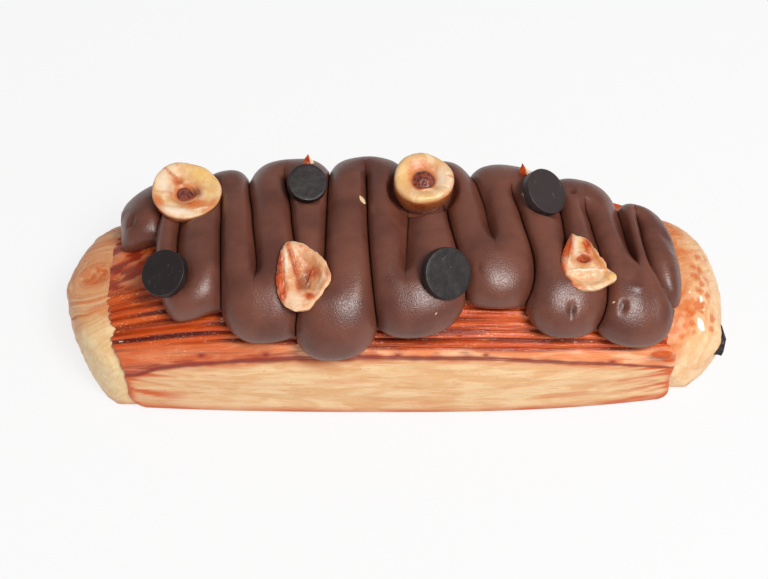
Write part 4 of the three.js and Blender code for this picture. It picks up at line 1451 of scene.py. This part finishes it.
# Each bit: the place it drops to, three half sizes in millimetres (across, up, through) and a turn
sugarGrains = [
    ((67.6, -14.2, 18.3), (0.85, 1.7, 0.45), -8),
    ((68.0, -8.8, 20.7), (0.85, 0.45, 0.35), 15),
    ((65.4, -8.1, 22.1), (0.25, 0.2, 0.15), 0),
    ((68.5, -11.0, 19.5), (0.2, 0.25, 0.15), 0),
]
nutCrumbs = [
    ((28.9, 5.2, 39.0), (0.75, 0.6, 0.5), 20),
    ((-6.5, 2.0, 41.0), (0.7, 1.0, 0.4), -20),
    ((9.0, -23.0, 33.0), (0.3, 0.15, 0.15), 30),
    ((46.5, -20.0, 33.0), (0.35, 0.2, 0.15), 70),
]
dropWay = Vector((0, -0.64, 0.77))
dropHeight = 0.03


def dropBits(name, bits, piece, material, slot, marks=()):
    # Small rounded bits lying where they land on a piece when dropped onto it slantwise from the front
    mesh = piece.data
    tree = BVHTree.FromPolygons([v.co for v in mesh.vertices], [f.vertices for f in mesh.polygons])
    toRoll = toFrame.inverted()
    shape = newShape(*marks)
    for number, (place, size, turn) in enumerate(bits):
        landed, facing, _, _ = tree.ray_cast(toFrame @ Vector(place) + dropHeight * dropWay, -dropWay)
        if landed is None:
            continue
        made = bmesh.ops.create_icosphere(shape, subdivisions=4, radius=1)["verts"]
        lumps = wander(np.array([v.co for v in made]), 0.9, 120 + number)
        lying = facing.to_track_quat("Z", "Y").to_matrix().to_4x4() @ Matrix.Rotation(turn * degree, 4, "Z")
        matrix = Matrix.Translation(toRoll @ landed) @ lying @ Matrix.Diagonal((*size, 1))
        for v, lump in zip(made, lumps):
            v.co = matrix @ (v.co * (1 + 0.25 * lump))
    newPiece(name, shape, material, slot)


dropBits("sugarGrains", sugarGrains, pastryRight, sugarLook, "crust")
dropBits("nutCrumbs", nutCrumbs, ganachePiece, nutLook, "hazelnut", nutMarks)


# The chocolate baton, broken off roughly where it stands out of the right end


def makeBaton():
    halfWidth, halfHeight = baton["width"] / 2, baton["height"] / 2
    columns, around, roundness = 150, 32, 0.45

    def rule(i, j):
        x = baton["from"] + (baton["to"] + baton["past"] - baton["from"]) * i / columns
        turn = 2 * math.pi * (j + 0.5) / around
        y = halfWidth * signedPower(np.cos(turn), roundness)
        z = halfHeight * signedPower(np.sin(turn), roundness)
        spot = np.stack([x, y, z], -1)
        rough = wander(spot, 1.2, 8) + 0.7 * wander(spot, 2.4, 9)
        nearEnd = ramp(baton["to"] - 5, baton["to"], x)
        spot[:, 1:] *= (1 - 0.16 * nearEnd * (1 + 2 * rough))[:, None]
        spot[(i == 0) | (i == columns), 1:] = 0
        spot[:, 0] += nearEnd * 0.8 * np.minimum(rough, 0)
        return spot + (0, baton["y"], baton["z"]), {}

    shape = newShape("bloom", flow=True)
    addGrid(shape, columns, around, rule)
    newPiece("chocolateBaton", shape, chocolateLook, "dark_chocolate", "chocolate_baton")


makeBaton()


# Floor, light and camera

studio = {
    "floorColour": (0.15, 0.15, 0.15, 1),
    "floorGlow": 0.8,
    "worldColour": (1.0, 1.0, 1.0, 1),
    "worldStrength": 0.35,
    "cameraElevation": 50,
    "cameraDistance": 0.339,
    "cameraTarget": (-0.0018, -0.0013, 0.0149),
    "lens": 70,
    "lightTarget": (0, 0, 0.02),
}
# The soft key light and the small one that makes the glints: size in metres and power
softboxes = {"keySoftbox": (0.34, 0.3, 4.9), "sparkLight": (0.06, 0.06, 0.9)}
softboxSpot = Vector((0.263, -0.376, 0.655))


def lookTo(way):
    # The turn of a light or a camera that faces this way
    return way.to_track_quat("-Z", "Y").to_euler()


def makeFloor():
    shape = bmesh.new()
    bmesh.ops.create_grid(shape, x_segments=2, y_segments=2, size=2)
    material, _, _ = newMaterial(
        "floorPale",
        Base_Color=studio["floorColour"],
        Roughness=0.8,
        Specular_IOR_Level=0,
        Emission_Color=(1, 1, 1, 1),
        Emission_Strength=studio["floorGlow"],
    )
    floor = addMesh("floor", shape, material)


def makeStudio():
    makeFloor()
    scene = bpy.context.scene
    scene.world = bpy.data.worlds.new("studio")
    scene.world.use_nodes = True
    sky = scene.world.node_tree.nodes["Background"]
    sky.inputs["Color"].default_value = studio["worldColour"]
    sky.inputs["Strength"].default_value = studio["worldStrength"]
    for name, (wide, high, power) in softboxes.items():
        light = bpy.data.lights.new(name, "AREA")
        light.shape = "RECTANGLE"
        light.size, light.size_y, light.energy = wide, high, power
        lamp = addObject(name, light)
        lamp.location = softboxSpot
        lamp.rotation_euler = lookTo(Vector(studio["lightTarget"]) - softboxSpot)
    camera = bpy.data.cameras.new("camera")
    camera.lens = studio["lens"]
    camera.sensor_width = 36
    camera.clip_start, camera.clip_end = 0.01, 20
    rise = studio["cameraElevation"] * degree
    back = Vector((0, -math.cos(rise), math.sin(rise)))
    scene.camera = addObject("camera", camera)
    scene.camera.location = Vector(studio["cameraTarget"]) + logOrigin + studio["cameraDistance"] * back
    scene.camera.rotation_euler = lookTo(-back)
    scene.view_settings.view_transform = "Standard"


makeStudio()
print("studio made")
